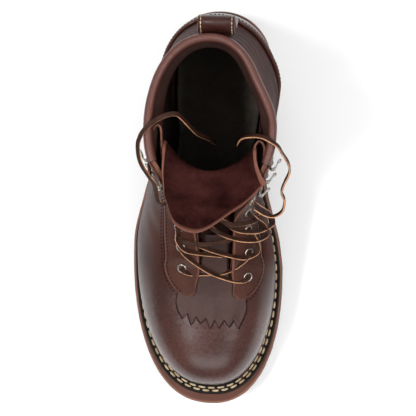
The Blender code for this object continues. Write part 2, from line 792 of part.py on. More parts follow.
def facing_outline(distance, length):
    """Near and far edge of the facing, from the throat's edge, with a round lower end."""
    t = np.clip((distance - FACING_START) / (FACING_WIDTH * 0.55), 0, 1)
    round_end = np.sqrt(1 - (1 - t) ** 2)
    middle = FACING_WIDTH * 0.45
    near = middle - (middle - 0.0002) * round_end
    far = middle + (FACING_WIDTH * (1 - 0.10 * distance / length) - middle) * round_end
    return near, far


def surface_tree(grid, closed):
    """Search tree over the flat faces of a grid; a closed grid joins its last column to its first."""
    rows, columns = grid.shape[:2]
    faces = []
    for r in range(rows - 1):
        for c in range(columns if closed else columns - 1):
            d = (c + 1) % columns
            faces.append((r * columns + c, r * columns + d, (r + 1) * columns + d, (r + 1) * columns + c))
    return BVHTree.FromPolygons([tuple(v) for v in grid.reshape(-1, 3)], faces)


def heights_over(tree, points, directions, reach=0.010):
    """How far a faceted surface stands above each point, along its direction."""
    heights = []
    for p, n in zip(points.reshape(-1, 3), directions.reshape(-1, 3)):
        hit = tree.ray_cast(Vector(p + n * reach), Vector(-n), 2 * reach)
        heights.append(-reach if hit[0] is None else reach - hit[3])
    return np.array(heights).reshape(points.shape[:-1])


def raise_clear(grid, directions, tree, least):
    """Moves a grid's points out until its flat faces stand clear of a faceted surface."""
    lift = np.zeros(grid.shape[:2])
    shares = (0.0, 0.25, 0.5, 0.75, 1.0)
    for _ in range(3):
        current = grid + directions * lift[..., None]
        wanted = lift.copy()
        for u in shares:
            for v in shares:
                weights = ((0, 0, (1 - u) * (1 - v)), (1, 0, u * (1 - v)), (0, 1, (1 - u) * v), (1, 1, u * v))
                rows, columns = grid.shape[0] - 1, grid.shape[1] - 1
                sample = sum(current[i : i + rows, j : j + columns] * w for i, j, w in weights)
                way = unit(sum(directions[i : i + rows, j : j + columns] * w for i, j, w in weights))
                short = np.maximum(heights_over(tree, sample, way) + least, 0.0)
                for i, j, w in weights:
                    if w > 0:
                        part = wanted[i : i + rows, j : j + columns]
                        np.maximum(part, lift[i : i + rows, j : j + columns] + short, out=part)
        lift = wanted
    return grid + directions * lift[..., None]


def facing_grids(side, tree):
    """Outer and inner surface of a facing, clear of the upper's faces."""
    total = edge_frames(side, [0.0])[3]
    top = total - FACING_TOP
    t = np.linspace(0, 1, 15)
    distances = FACING_START + (top - FACING_START) * (0.03 + 0.97 * t) ** 1.25
    base, _, away, _ = edge_frames(side, distances)
    near, far = facing_outline(distances, total)
    lift = facing_lift(distances)
    inner, out = [], []
    for share in np.linspace(0, 1, 4):
        p = walk(base, away, near + (far - near) * share)
        out.append(normals(p))
        inner.append(p + out[-1] * lift[:, None])
    inner, out = np.array(inner), np.array(out)
    inner = raise_clear(inner, out, tree, 0.0006)
    return inner + out * OVERLAY, inner


def build_facing(side, grids, material):
    """Eyelet facing: a raised strip along the throat's edge, from the vamp to the collar."""
    return new_object("facing_" + SIDES[side], *sheet_solid(*grids), material, 40, False)


KILTIE_ROWS = [  # along (share of SOLE_LENGTH), half width (share of BALL_WIDTH)
    (0.560, 0.066), (0.620, 0.074), (0.655, 0.090), (0.685, 0.150), (0.708, 0.206), (0.735, 0.214), (0.757, 0.200),
]
KILTIE_TEETH = 7
KILTIE_TOOTH = 0.0050
KILTIE_BOW = 0.0035
KILTIE_SLANT = 0.0025


def build_kiltie(material):
    """Fringe of leather over the foot of the laces, with a pinked front edge."""
    columns = KILTIE_TEETH * 2 + 1
    share = np.linspace(-1, 1, columns)
    rows = []
    stations = np.linspace(KILTIE_ROWS[0][0], KILTIE_ROWS[-1][0], 7)
    for k, a in enumerate(stations):
        half = float(smooth_table(KILTIE_ROWS, 1, a)) * BALL_WIDTH
        along = a * SOLE_LENGTH + (KILTIE_BOW * (1 - share**2) + KILTIE_SLANT * share) * (k / 6)
        if k == 6:
            along = along + np.where(np.arange(columns) % 2, KILTIE_TOOTH, 0.0)
        middle = smooth_table(THROAT[::-1], 2, a) * SHAFT_WIDTH * (1 - 0.9 * k / 6)
        rows.append(world(middle + half * share, along, 0.6 * COLLAR_HEIGHT))
    seeds = np.array(rows)
    seeds[..., 2] = feather(ORIGIN_ALONG - seeds[..., 1]) + 0.5 * smooth_table(
        RIDGE, 1, (ORIGIN_ALONG - seeds[..., 1]) / SOLE_LENGTH
    ) * COLLAR_HEIGHT
    p = cast(seeds, np.array([0.0, 0.0, 1.0]) + 0 * seeds, low=-0.01, high=0.09)
    n = normals(p)
    return new_object(
        "kiltie", *sheet_solid(p + n * (OVERLAY_GAP + KILTIE_THICKNESS), p + n * OVERLAY_GAP), material, 40
    )


def build_counter(material):
    """Heel counter: a raised cup round the heel, highest at the back."""
    reach = 0.325
    columns, rows = 23, 5
    a = np.linspace(-1, 1, columns)
    along = SOLE_LENGTH * (0.03 + (reach - 0.03) * np.abs(a) ** 1.35)
    x = np.sign(a) * 0.038 * np.abs(a) ** 0.65
    height = COUNTER_HEIGHT * (1 - 0.72 * smoothstep(0.25, 1.0, np.abs(a)))
    seeds, directions = [], []
    for t in np.linspace(0, 1, rows):
        z = feather(along) + SEAT_GAP + height * t
        seeds.append(world(x * 0.3, 0.30 * along + 0.070, z))
        directions.append(world(x, along, z) - seeds[-1])
    seeds, directions = np.array(seeds), np.array(directions)
    p = cast(seeds, directions, low=0.0, high=0.09)
    n = normals(p)
    outer, inner = p + n * (OVERLAY_GAP + OVERLAY), p + n * OVERLAY_GAP
    for grid in (outer, inner):
        grid[0, :, 2] = feather(ORIGIN_ALONG - grid[0, :, 1]) + SEAT_GAP
    return new_object("counter", *sheet_solid(outer, inner), material, 40)


def rim_points():
    """Middle of the upper's top rim, from the lateral corner round the back to the medial one."""
    outer = upper_grid(THROAT_COLUMNS, COLLAR_COLUMNS, UPPER_ROWS)
    inner = inner_grid(outer, WALL)
    first, last = THROAT_COLUMNS, THROAT_COLUMNS + 2 * COLLAR_COLUMNS
    top = outer[-1, first : last + 1]
    return (top + inner[-1, first : last + 1]) / 2, unit(top - inner[-1, first : last + 1])


def build_collar(material):
    """Rolled collar: a bead on the upper's top rim."""
    middle, out = rim_points()
    out = unit(out * np.array([1, 1, 0]))
    a = np.linspace(0, 2 * math.pi, 8, endpoint=False) + math.pi / 8
    half_w, half_h = COLLAR_ROLL_WIDTH / 2, COLLAR_ROLL_HEIGHT / 2
    sections = []
    for m, o in zip(middle, out):
        flat = np.sign(np.sin(a)) * np.abs(np.sin(a)) ** 0.75
        section = m + o * (half_w * np.cos(a))[:, None]
        section[:, 2] = m[2] + GAP + half_h + half_h * flat * 0.999
        sections.append(section)
    return new_object("collar", *loft(sections), material, 60)


def strap(path, width, thickness, lateral_axis=np.array([1.0, 0, 0])):
    """Flat strap swept along a path, as wide as width along its lateral axis."""
    path = np.asarray(path, float)
    tangent = unit(np.gradient(path, axis=0))
    across = unit(lateral_axis - (tangent @ lateral_axis)[:, None] * tangent)
    normal = np.cross(tangent, across)
    corners = [(-1, -1), (1, -1), (1, 1), (-1, 1)]
    return [
        [p + a * (u * width / 2) + n * (v * thickness / 2) for u, v in corners]
        for p, a, n in zip(path, across, normal)
    ]


def back_line(z):
    """The surface's rearmost point at a height, on the middle plane."""
    z = np.asarray(z, float)
    start = world(np.zeros_like(z), np.full_like(z, 0.075), z)
    return cast(start, np.array([0.0, 1.0, 0.0]) + 0 * start, low=0.0, high=0.09)


PULL_LOOP = [  # behind the collar's rear (m), height below the collar's top (m)
    (0.0032, 0.0130), (0.0050, 0.0060), (0.0090, 0.0018), (0.0125, 0.0050), (0.0135, 0.0135), (0.0110, 0.0255),
]


def build_pull_loop(material):
    """Pull loop: from under the collar it arches back and lies down on the back seam."""
    half = LOOP_THICKNESS / 2
    rear = back_line(np.array([shaft_top() - COLLAR_DIP]))[0, 1]
    top = COLLAR_HEIGHT - COLLAR_DIP
    arch = [(LOOP_SHIFT, rear + b, top - h) for b, h in PULL_LOOP]
    z = np.array([0.141, 0.132, 0.122, 0.112]) / 0.186 * COLLAR_HEIGHT
    seam = back_line(z)
    seam = seam + normals(seam) * (half + GAP + 0.0004) + np.array([LOOP_SHIFT, 0, 0])
    path = spline(np.vstack([arch, seam]), 3)
    return new_object("pull_loop", *loft(strap(path, LOOP_WIDTH, LOOP_THICKNESS)), material, 40)


TONGUE = [  # along (of SOLE_LENGTH), height (of COLLAR_HEIGHT), half width (of SHAFT_WIDTH)
    (0.672, 0.430, 0.330),
    (0.630, 0.470, 0.340),
    (0.585, 0.520, 0.350),
    (0.540, 0.600, 0.350),
    (0.505, 0.660, 0.340),
]
TONGUE_DEPTH = 0.0024

# Folded top of the tongue: five points across, from lateral to medial, for each row of the fold. A
# point is x (of SHAFT_WIDTH), along (of SOLE_LENGTH) and height (of COLLAR_HEIGHT).
FOLD = [
    [(-0.345, 0.385, 0.745), (-0.200, 0.432, 0.735), (0.030, 0.450, 0.730), (0.240, 0.435, 0.735), (0.390, 0.392, 0.745)],
    [(-0.365, 0.352, 0.830), (-0.205, 0.400, 0.830), (0.015, 0.425, 0.825), (0.230, 0.404, 0.830), (0.395, 0.358, 0.830)],
    [(-0.368, 0.362, 0.920), (-0.212, 0.405, 0.905), (0.010, 0.421, 0.890), (0.228, 0.405, 0.905), (0.388, 0.366, 0.925)],
    [(-0.368, 0.400, 0.925), (-0.245, 0.440, 0.875), (-0.012, 0.455, 0.855), (0.230, 0.434, 0.885), (0.398, 0.396, 0.935)],
    [(-0.370, 0.440, 0.860), (-0.282, 0.492, 0.750), (-0.058, 0.510, 0.735), (0.228, 0.470, 0.815), (0.430, 0.420, 0.895)],
    [(-0.368, 0.470, 0.795), (-0.300, 0.534, 0.655), (-0.095, 0.555, 0.645), (0.226, 0.502, 0.745), (0.472, 0.438, 0.862)],
]


def keep_inside(points):
    """Moves points that lie too close to the upper's wall, or in it, inwards."""
    q = settle(points)
    n = normals(q)
    depth = ((q - points) * n).sum(-1, keepdims=True)
    least = WALL + TONGUE_DEPTH + TONGUE_THICKNESS / 2
    return np.where(depth < least, q - n * least, points)


def tongue_grid(columns=9, per_row=1):
    """Middle surface of the tongue: it follows the instep inside, folds forward at the top and drapes."""
    share = np.linspace(-1, 1, columns)
    rows = []
    for a, h, w in TONGUE:
        x = (smooth_table(THROAT[::-1], 2, a) + w * share) * SHAFT_WIDTH
        start = world(x * 0.93, a * SOLE_LENGTH, 0.40 * COLLAR_HEIGHT)
        p = cast(start, np.array([0.0, -0.25, 1.0]) + 0 * start, low=-0.02, high=0.11)
        rows.append(p - normals(p) * (WALL + TONGUE_DEPTH + TONGUE_THICKNESS / 2))
    for points in FOLD:
        q = np.array(points) * (SHAFT_WIDTH, SOLE_LENGTH, COLLAR_HEIGHT)
        dense = spline(world(q[:, 0], q[:, 1], q[:, 2]), 8)
        row = dense[np.round((share + 1) / 2 * (len(dense) - 1)).astype(int)]
        rows.append(row)
    grid = np.array(rows)
    grid = np.stack([spline(grid[:, c], per_row) for c in range(columns)], axis=1)
    inside = per_row * (len(TONGUE) + 1)
    grid[:inside] = keep_inside(grid[:inside])
    return grid


def grid_normals(grid):
    u = np.gradient(grid, axis=0)
    v = np.gradient(grid, axis=1)
    return unit(np.cross(u, v))


def build_tongue(material):
    coarse = tongue_grid(9, 2)
    keep = [k for k in range(len(coarse)) if k % 2 == 0 or k > 2 * len(TONGUE) - 4]
    grid = coarse[keep]
    n = grid_normals(grid)
    half = TONGUE_THICKNESS / 2
    return new_object("tongue", *sheet_solid(grid + n * half, grid - n * half), material, 40)


def lacing_points(side, facing):
    """Centres on the upper's surface, normals, away directions and seat heights of eyelets and hooks."""
    distances = [FIRST_EYELET[side] + i * EYELET_PITCH for i in range(EYELET_COUNT)]
    distances += [distances[-1] + (i + 1) * HOOK_PITCH for i in range(HOOK_COUNT)]
    base, _, away, _ = edge_frames(side, distances)
    p = walk(base, away, EYELET_INSET)
    n = normals(p)
    away = unit(away - (away * n).sum(-1, keepdims=True) * n)
    tree = surface_tree(facing, False)
    steps = np.linspace(-EYELET_FLANGE, EYELET_FLANGE, 5)
    lift = facing_lift(np.array(distances)) + OVERLAY
    for i in range(len(p)):
        across = np.cross(n[i], away[i])
        spots = np.array([p[i] + away[i] * u + across * v for u in steps for v in steps])
        lift[i] = max(lift[i], heights_over(tree, spots, np.broadcast_to(n[i], spots.shape)).max())
    return p, n, away, lift


def disc_rings(centre, normal, radii_heights, count):
    """Rings of points round an axis, one for each (radius, height)."""
    a = unit(np.cross(normal, (0.31, 0.52, 0.79)))
    b = np.cross(normal, a)
    t = np.linspace(0, 2 * math.pi, count, endpoint=False)
    circle = np.cos(t)[:, None] * a + np.sin(t)[:, None] * b
    return np.array([centre + circle * r + normal * h for r, h in radii_heights])


def build_eyelet(name, centre, normal, lift, material):
    """Eyelet: a flange on the facing and a barrel that reaches through facing and upper."""
    seat = lift + GAP
    profile = [
        (EYELET_HOLE, -0.0024), (EYELET_BARREL, -0.0024), (EYELET_BARREL, seat), (EYELET_FLANGE, seat),
        (EYELET_HOLE, seat + 0.0009),
    ]
    count = 8
    rings = disc_rings(centre, normal, profile, count)
    faces = ring_faces(len(profile), count)
    last = (len(profile) - 1) * count
    faces += [(last + c, last + (c + 1) % count, (c + 1) % count, c) for c in range(count)]
    return new_object(name, rings.reshape(-1, 3), faces, material, 40)


HOOK_PATH = [  # away from the throat (m), above the facing (m)
    (0.0042, 0.0005), (-0.0030, 0.0005), (-0.0046, 0.0014), (-0.0046, 0.0030), (-0.0028, 0.0042),
    (0.0022, 0.0048), (0.0042, 0.0064),
]


def build_hook(name, centre, normal, away, lift, material):
    """Speed hook: a base plate that curls over and opens away from the throat."""
    along_edge = np.cross(normal, away)
    path = [centre + away * a + normal * (lift + GAP + h) for a, h in HOOK_PATH]
    return new_object(name, *loft(strap(path, HOOK_WIDTH, 0.0009, along_edge)), material, 40)


def cut_holes(target, centres, normal_vectors, radius):
    """Cuts one round hole through target at each centre, along its normal."""
    rings = []
    faces = []
    for c, n in zip(centres, normal_vectors):
        v = disc_rings(c, n, [(radius, -0.012), (radius, 0.012)], 8).reshape(-1, 3)
        base = sum(len(r) for r in rings)
        rings.append(v)
        faces += [tuple(base + i for i in f) for f in ring_faces(2, 8)]
        faces.append(tuple(base + i for i in range(8))[::-1])
        faces.append(tuple(base + 8 + i for i in range(8)))
    cutter = new_object(target.name + "_holes", np.concatenate(rings), faces, target.data.materials[0], None, False)
    cutter.hide_render = True
    cutter.display_type = "WIRE"
    boolean = target.modifiers.new("eyelet_holes", "BOOLEAN")
    boolean.operation = "DIFFERENCE"
    boolean.object = cutter


def tube(path, radius, sides=8):
    """Closed round tube along a path."""
    path = np.asarray(path, float)
    tangent = unit(np.gradient(path, axis=0))
    side = np.cross(tangent[0], (0.0, 0.0, 1.0))
    if np.linalg.norm(side) < 0.1:
        side = np.cross(tangent[0], (1.0, 0.0, 0.0))
    sections = []
    for p, t in zip(path, tangent):
        side = unit(side - (side @ t) * t)
        up = np.cross(side, t)
        a = np.linspace(0, 2 * math.pi, sides, endpoint=False)
        sections.append(p + radius * (np.cos(a)[:, None] * side + np.sin(a)[:, None] * up))
    return loft(sections)


def crossing_path(start, end, start_lift, end_lift, over):
    """Lace run from one eyelet to another over the tongue, following the closed last's surface."""
    t = np.linspace(0, 1, 7)
    chord = start + (end - start) * t[:, None]
    p = settle(chord)
    ends = start_lift + (end_lift - start_lift) * t
    lift = ends + (over - ends) * np.sin(math.pi * t) ** 2
    return p + normals(p) * lift[:, None]


def build_lace(points, material):
    """Criss-cross lacing between the eyelets, with its crossings joined into one solid."""
    pieces = []
    for i in range(EYELET_COUNT - 1):
        for a, b in ((-1, 1), (1, -1)):
            p, n, away, lift = points[a]
            q, _, away_b, lift_b = points[b]
            offset = EYELET_FLANGE * 0.25
            start = p[i] - away[i] * offset
            end = q[i + 1] - away_b[i + 1] * offset
            above = LACE_RADIUS + 0.0015 + LACE_CLEARANCE
            over = OVERLAY_GAP + KILTIE_THICKNESS + LACE_RADIUS + LACE_CLEARANCE
            path = crossing_path(start, end, lift[i] + above, lift_b[i + 1] + above, over)
            pieces.append(tube(path, LACE_RADIUS, 5))
    first = new_object("lace", *pieces[0], material, 60, False)
    for k, (v, f) in enumerate(pieces[1:]):
        other = new_object(f"lace_run_{k}", v, f, material, None, False)
        other.hide_render = True
        other.display_type = "WIRE"
        boolean = first.modifiers.new(f"join_{k}", "BOOLEAN")
        boolean.operation = "UNION"
        boolean.object = other
    return first


LACE_ENDS = {  # x, along and height of each free end of the lace, from the top eyelet into the shaft
    "lateral": [
        (-0.0320, 0.1505, 0.1275), (-0.0357, 0.1480, 0.1375), (-0.0362, 0.1415, 0.1490), (-0.0370, 0.1358, 0.1605),
        (-0.0402, 0.1312, 0.1690), (-0.0450, 0.1225, 0.1765), (-0.0467, 0.1120, 0.1795), (-0.0445, 0.1050, 0.1841),
        (-0.0406, 0.1000, 0.1873), (-0.0345, 0.0950, 0.1880), (-0.0276, 0.0912, 0.1871), (-0.0215, 0.0900, 0.1843),
        (-0.0180, 0.0920, 0.1790), (-0.0130, 0.0970, 0.1660), (-0.0085, 0.1010, 0.1460), (-0.0025, 0.1030, 0.1250),
        (0.0015, 0.1050, 0.1070),
    ],
    "medial": [
        (0.0318, 0.1515, 0.1210), (0.0385, 0.1555, 0.1190), (0.0455, 0.1568, 0.1180), (0.0515, 0.1525, 0.1200),
        (0.0527, 0.1450, 0.1250), (0.0505, 0.1395, 0.1320), (0.0522, 0.1335, 0.1410), (0.0554, 0.1260, 0.1520),
        (0.0545, 0.1200, 0.1620), (0.0502, 0.1140, 0.1745), (0.0474, 0.1100, 0.1835), (0.0427, 0.1068, 0.1883),
        (0.0362, 0.1040, 0.1890), (0.0287, 0.1036, 0.1855), (0.0235, 0.1045, 0.1760), (0.0210, 0.1065, 0.1610),
        (0.0200, 0.1080, 0.1450),
    ],
}


def build_lace_end(word, material):
    """Free end of the lace: a loose loop out past the hooks, over the collar and down inside the shaft."""
    points = np.array(LACE_ENDS[word])
    path = spline(world(points[:, 0], points[:, 1], points[:, 2]), 2)
    curve = bpy.data.curves.new("lace_end_" + word, "CURVE")
    curve.dimensions = "3D"
    curve.bevel_depth = LACE_RADIUS
    curve.bevel_resolution = 2
    curve.use_fill_caps = True
    line = curve.splines.new("POLY")
    line.points.add(len(path) - 1)
    for point, place in zip(line.points, path):
        point.co = (*place, 1.0)
    obj = bpy.data.objects.new("lace_end_" + word, curve)
    obj.data.materials.append(material)
    bpy.context.scene.collection.objects.link(obj)
    return obj


def make_material(name, color, roughness, metallic=0.0):
    material = bpy.data.materials.new(name)
    material.use_nodes = True
    shader = material.node_tree.nodes["Principled BSDF"]
    shader.inputs["Base Color"].default_value = (*color, 1.0)
    shader.inputs["Roughness"].default_value = roughness
    shader.inputs["Metallic"].default_value = metallic
    return material


def main():
    for obj in list(bpy.data.objects):
        bpy.data.objects.remove(obj)
    leather = make_material("brown_leather", (0.075, 0.030, 0.022), 0.38)
    collar_leather = make_material("collar_leather", (0.105, 0.046, 0.036), 0.42)
    suede = make_material("tongue_suede", (0.085, 0.030, 0.024), 0.9)
    edge_leather = make_material("sole_leather", (0.105, 0.045, 0.030), 0.5)
    black = make_material("black_welt", (0.012, 0.011, 0.010), 0.6)
    rubber = make_material("tread_rubber", (0.020, 0.018, 0.016), 0.75)
    lining = make_material("insole_leather", (0.030, 0.022, 0.018), 0.8)
    nickel = make_material("nickel", (0.62, 0.60, 0.57), 0.25, 1.0)
    rawhide = make_material("rawhide_lace", (0.210, 0.095, 0.045), 0.6)

    build_outsole(rubber)
    build_heel_cap(rubber)
    build_heel(edge_leather)
    build_midsole(edge_leather)
    build_welt(black)
    build_insole(lining)
    upper = build_upper(leather)
    build_counter(leather)
    build_collar(collar_leather)
    build_pull_loop(collar_leather)
    build_kiltie(leather)
    build_tongue(suede)
    tree = surface_tree(upper_grid(THROAT_COLUMNS, COLLAR_COLUMNS, UPPER_ROWS), True)
    grids = {side: facing_grids(side, tree) for side in SIDES}
    points = {side: lacing_points(side, grids[side][0]) for side in SIDES}
    for side, word in SIDES.items():
        facing = build_facing(side, grids[side], leather)
        p, n, away, lift = points[side]
        for i in range(EYELET_COUNT):
            build_eyelet(f"eyelet_{word}_{i + 1}", p[i], n[i], lift[i], nickel)
        for i in range(EYELET_COUNT, EYELET_COUNT + HOOK_COUNT):
            build_hook(f"hook_{word}_{i + 1 - EYELET_COUNT}", p[i], n[i], away[i], lift[i], nickel)
        cut_holes(facing, p[:EYELET_COUNT], n[:EYELET_COUNT], (EYELET_BARREL + GAP) / math.cos(math.pi / 8))
    centres = np.concatenate([points[s][0][:EYELET_COUNT] for s in SIDES])
    vectors = np.concatenate([points[s][1][:EYELET_COUNT] for s in SIDES])
    cut_holes(upper, centres, vectors, (EYELET_BARREL + GAP) / math.cos(math.pi / 8))
    build_lace(points, rawhide)
    for word in SIDES.values():
        build_lace_end(word, rawhide)


main()
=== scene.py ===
"""Looks of the lace-up work boot: the camera of the photo, the two free lace ends, the leather pieces at
full detail over the model's own last, the sole, the stitching, and a pale studio floor with soft light.

Metres, +Z up, toe towards -Y. "Along" is measured from the back of the sole towards the toe.
"""

import math

import bmesh
import bpy
import numpy as np
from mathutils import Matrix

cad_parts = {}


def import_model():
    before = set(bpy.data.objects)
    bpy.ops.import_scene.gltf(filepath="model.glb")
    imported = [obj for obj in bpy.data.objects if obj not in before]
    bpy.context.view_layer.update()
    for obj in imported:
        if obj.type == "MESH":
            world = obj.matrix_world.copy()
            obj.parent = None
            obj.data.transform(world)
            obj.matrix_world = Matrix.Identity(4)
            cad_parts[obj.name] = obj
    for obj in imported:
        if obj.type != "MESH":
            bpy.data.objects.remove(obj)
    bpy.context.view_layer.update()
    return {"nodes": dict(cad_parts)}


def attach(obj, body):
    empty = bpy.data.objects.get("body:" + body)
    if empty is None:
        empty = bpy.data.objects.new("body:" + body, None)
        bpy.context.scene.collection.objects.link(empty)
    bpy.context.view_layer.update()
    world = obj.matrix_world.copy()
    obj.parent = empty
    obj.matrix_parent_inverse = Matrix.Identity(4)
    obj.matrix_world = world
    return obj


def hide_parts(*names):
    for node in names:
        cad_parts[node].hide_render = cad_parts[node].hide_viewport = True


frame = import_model()

# Driving sizes
SOLE_LENGTH = 0.305
BALL_WIDTH = 0.118
SHAFT_WIDTH = 0.084
COLLAR_HEIGHT = 0.186
ORIGIN_ALONG = 0.040
GAP = 0.0003
SEAT_GAP = 0.0006
OVERLAY_GAP = 0.0010

# Heel, lift, plates and tread
HEEL_STACK_TOP = 0.0250
HEEL_PITCH_RISE = 0.0014
HEEL_LENGTH = 0.078
LUG_DEPTH = 0.0042
OUTSOLE_THICKNESS = 0.0055
MIDSOLE_THICKNESS = 0.0062
WELT_THICKNESS = 0.0030
TOE_SPRING = 0.0130
FLAT_START = 0.168
FLAT_END = 0.235
WELT_WIDTH = 0.0150

# Upper and its overlays
WALL = 0.0028
BULGE_HEIGHT = 0.0150
COLLAR_ROLL_WIDTH = 0.0062
COLLAR_ROLL_HEIGHT = 0.0085
OVERLAY = 0.0018
FACING_WIDTH = 0.0265
COUNTER_HEIGHT = 0.056
KILTIE_THICKNESS = 0.0018
TONGUE_THICKNESS = 0.0022
LOOP_WIDTH = 0.0250
LOOP_THICKNESS = 0.0022
LOOP_SHIFT = 0.0035

# Lacing
EYELET_COUNT = 5
HOOK_COUNT = 3
FIRST_EYELET = {-1: 0.0220, 1: 0.0165}
EYELET_PITCH = 0.0163
HOOK_PITCH = 0.0165
EYELET_INSET = 0.0125
EYELET_HOLE = 0.0024
EYELET_FLANGE = 0.0039
HOOK_WIDTH = 0.0055

# Sole plan: half widths as shares of BALL_WIDTH, stations as shares of SOLE_LENGTH
SIDES = {-1: "lateral", 1: "medial"}
HEEL_ROUND_END = 0.138
WIDEST = {-1: 0.590, 1: 0.672}
TOE_POWER = {-1: 2.30, 1: 2.35}
HEEL_POWER = 2.1
OUTLINE = {
    -1: [  # along, half width
        (0.138, 0.342), (0.245, 0.346), (0.345, 0.388), (0.460, 0.482), (0.590, 0.549),
    ],
    1: [
        (0.138, 0.342), (0.245, 0.330), (0.345, 0.312), (0.425, 0.322), (0.520, 0.381),
        (0.580, 0.424), (0.672, 0.452),
    ],
}

# How far the upper's widest line lies inside the sole edge, as shares of SOLE_LENGTH
LEDGE = [  # along, sides, tip
    (0.00, 0.0065), (0.25, 0.0070), (0.50, 0.0150), (0.72, 0.0200), (1.00, 0.0280),
]
LEDGE_TOE_TIP = 0.0175
LEDGE_HEEL_TIP = 0.0035

# Ridge of the foot: height above the feather line as a share of COLLAR_HEIGHT, power of the section
RIDGE = [  # along, height, power
    (0.00, 0.340, 2.10),
    (0.14, 0.420, 2.10),
    (0.22, 0.620, 1.95),
    (0.30, 0.790, 1.90),
    (0.38, 0.700, 1.90),
    (0.46, 0.575, 1.92),
    (0.525, 0.480, 1.98),
    (0.59, 0.404, 2.06),
    (0.655, 0.347, 2.20),
    (0.72, 0.318, 2.35),
    (0.80, 0.313, 2.50),
    (0.87, 0.315, 2.55),
    (1.00, 0.316, 2.55),
]
TOE_CENTRE = 0.655
TUCK = 2.15
HEEL_INSET = 0.012
FIELD_BLEND = 0.011

# Shaft: level from heel seat (0) to collar (1); along as shares of SOLE_LENGTH, widths of SHAFT_WIDTH
SHAFT = [  # level, back, centre, front, lateral, medial, medial towards the back
    (0.00, 0.0290, 0.170, 0.500, 0.462, 0.470, 0.450),
    (0.10, 0.0262, 0.190, 0.500, 0.486, 0.508, 0.482),
    (0.20, 0.0300, 0.210, 0.510, 0.492, 0.543, 0.500),
    (0.35, 0.0430, 0.230, 0.520, 0.487, 0.543, 0.490),
    (0.55, 0.0710, 0.256, 0.528, 0.480, 0.530, 0.462),
    (0.75, 0.0990, 0.288, 0.518, 0.484, 0.524, 0.442),
    (0.90, 0.1190, 0.315, 0.500, 0.492, 0.530, 0.437),
    (1.00, 0.1280, 0.325, 0.490, 0.500, 0.538, 0.437),
]
SHAFT_POWER = 2.15

# Throat edge from the middle of its foot up to the collar corner
THROAT = [  # along (of SOLE_LENGTH), half gap, middle (of SHAFT_WIDTH), height (of the shaft's top)
    (0.690, 0.000, 0.035, 0.451),
    (0.684, 0.070, 0.038, 0.451),
    (0.668, 0.115, 0.041, 0.462),
    (0.623, 0.150, 0.048, 0.514),
    (0.580, 0.185, 0.052, 0.577),
    (0.535, 0.230, 0.050, 0.651),
    (0.492, 0.290, 0.042, 0.735),
    (0.452, 0.355, 0.030, 0.829),
    (0.420, 0.412, 0.020, 0.927),
    (0.402, 0.445, 0.015, 1.000),
]
COLLAR_DIP = 0.006

FACING_START = 0.0075
FACING_OVER_KILTIE = 0.030
FACING_TOP = 0.0034

KILTIE_ROWS = [  # along (share of SOLE_LENGTH), half width (share of BALL_WIDTH)
    (0.560, 0.066), (0.620, 0.074), (0.655, 0.090), (0.685, 0.150), (0.708, 0.206), (0.735, 0.214),
    (0.757, 0.200),
]
KILTIE_TEETH = 7
KILTIE_TOOTH = 0.0050
KILTIE_BOW = 0.0035
KILTIE_SLANT = 0.0025

PULL_LOOP = [  # behind the collar's rear (m), height below the collar's top (m)
    (0.0032, 0.0130), (0.0050, 0.0060), (0.0090, 0.0018), (0.0125, 0.0050), (0.0135, 0.0135),
    (0.0110, 0.0255),
]

TONGUE = [  # along (of SOLE_LENGTH), height (of COLLAR_HEIGHT), half width (of SHAFT_WIDTH)
    (0.672, 0.430, 0.330),
    (0.630, 0.470, 0.340),
    (0.585, 0.520, 0.350),
    (0.540, 0.600, 0.350),
    (0.505, 0.660, 0.340),
]
TONGUE_DEPTH = 0.0024

# Folded top of the tongue: five points across, from lateral to medial, for each row of the fold. A
# point is x (of SHAFT_WIDTH), along (of SOLE_LENGTH) and height (of COLLAR_HEIGHT).
FOLD = [
    [(-0.345, 0.385, 0.745), (-0.200, 0.432, 0.735), (0.030, 0.450, 0.730), (0.240, 0.435, 0.735),
     (0.390, 0.392, 0.745)],
    [(-0.365, 0.352, 0.830), (-0.205, 0.400, 0.830), (0.015, 0.425, 0.825), (0.230, 0.404, 0.830),
     (0.395, 0.358, 0.830)],
    [(-0.368, 0.362, 0.920), (-0.212, 0.405, 0.905), (0.010, 0.421, 0.890), (0.228, 0.405, 0.905),
     (0.388, 0.366, 0.925)],
    [(-0.368, 0.400, 0.925), (-0.245, 0.440, 0.875), (-0.012, 0.455, 0.855), (0.230, 0.434, 0.885),
     (0.398, 0.396, 0.935)],
    [(-0.370, 0.440, 0.860), (-0.282, 0.492, 0.750), (-0.058, 0.510, 0.735), (0.228, 0.470, 0.815),
     (0.430, 0.420, 0.895)],
    [(-0.368, 0.470, 0.795), (-0.300, 0.534, 0.655), (-0.095, 0.555, 0.645), (0.226, 0.502, 0.745),
     (0.472, 0.438, 0.862)],
]

HOOK_PATH = [  # away from the throat (m), above the facing (m)
    (0.0042, 0.0005), (-0.0030, 0.0005), (-0.0046, 0.0014), (-0.0046, 0.0030), (-0.0028, 0.0042),
    (0.0022, 0.0048), (0.0042, 0.0064),
]

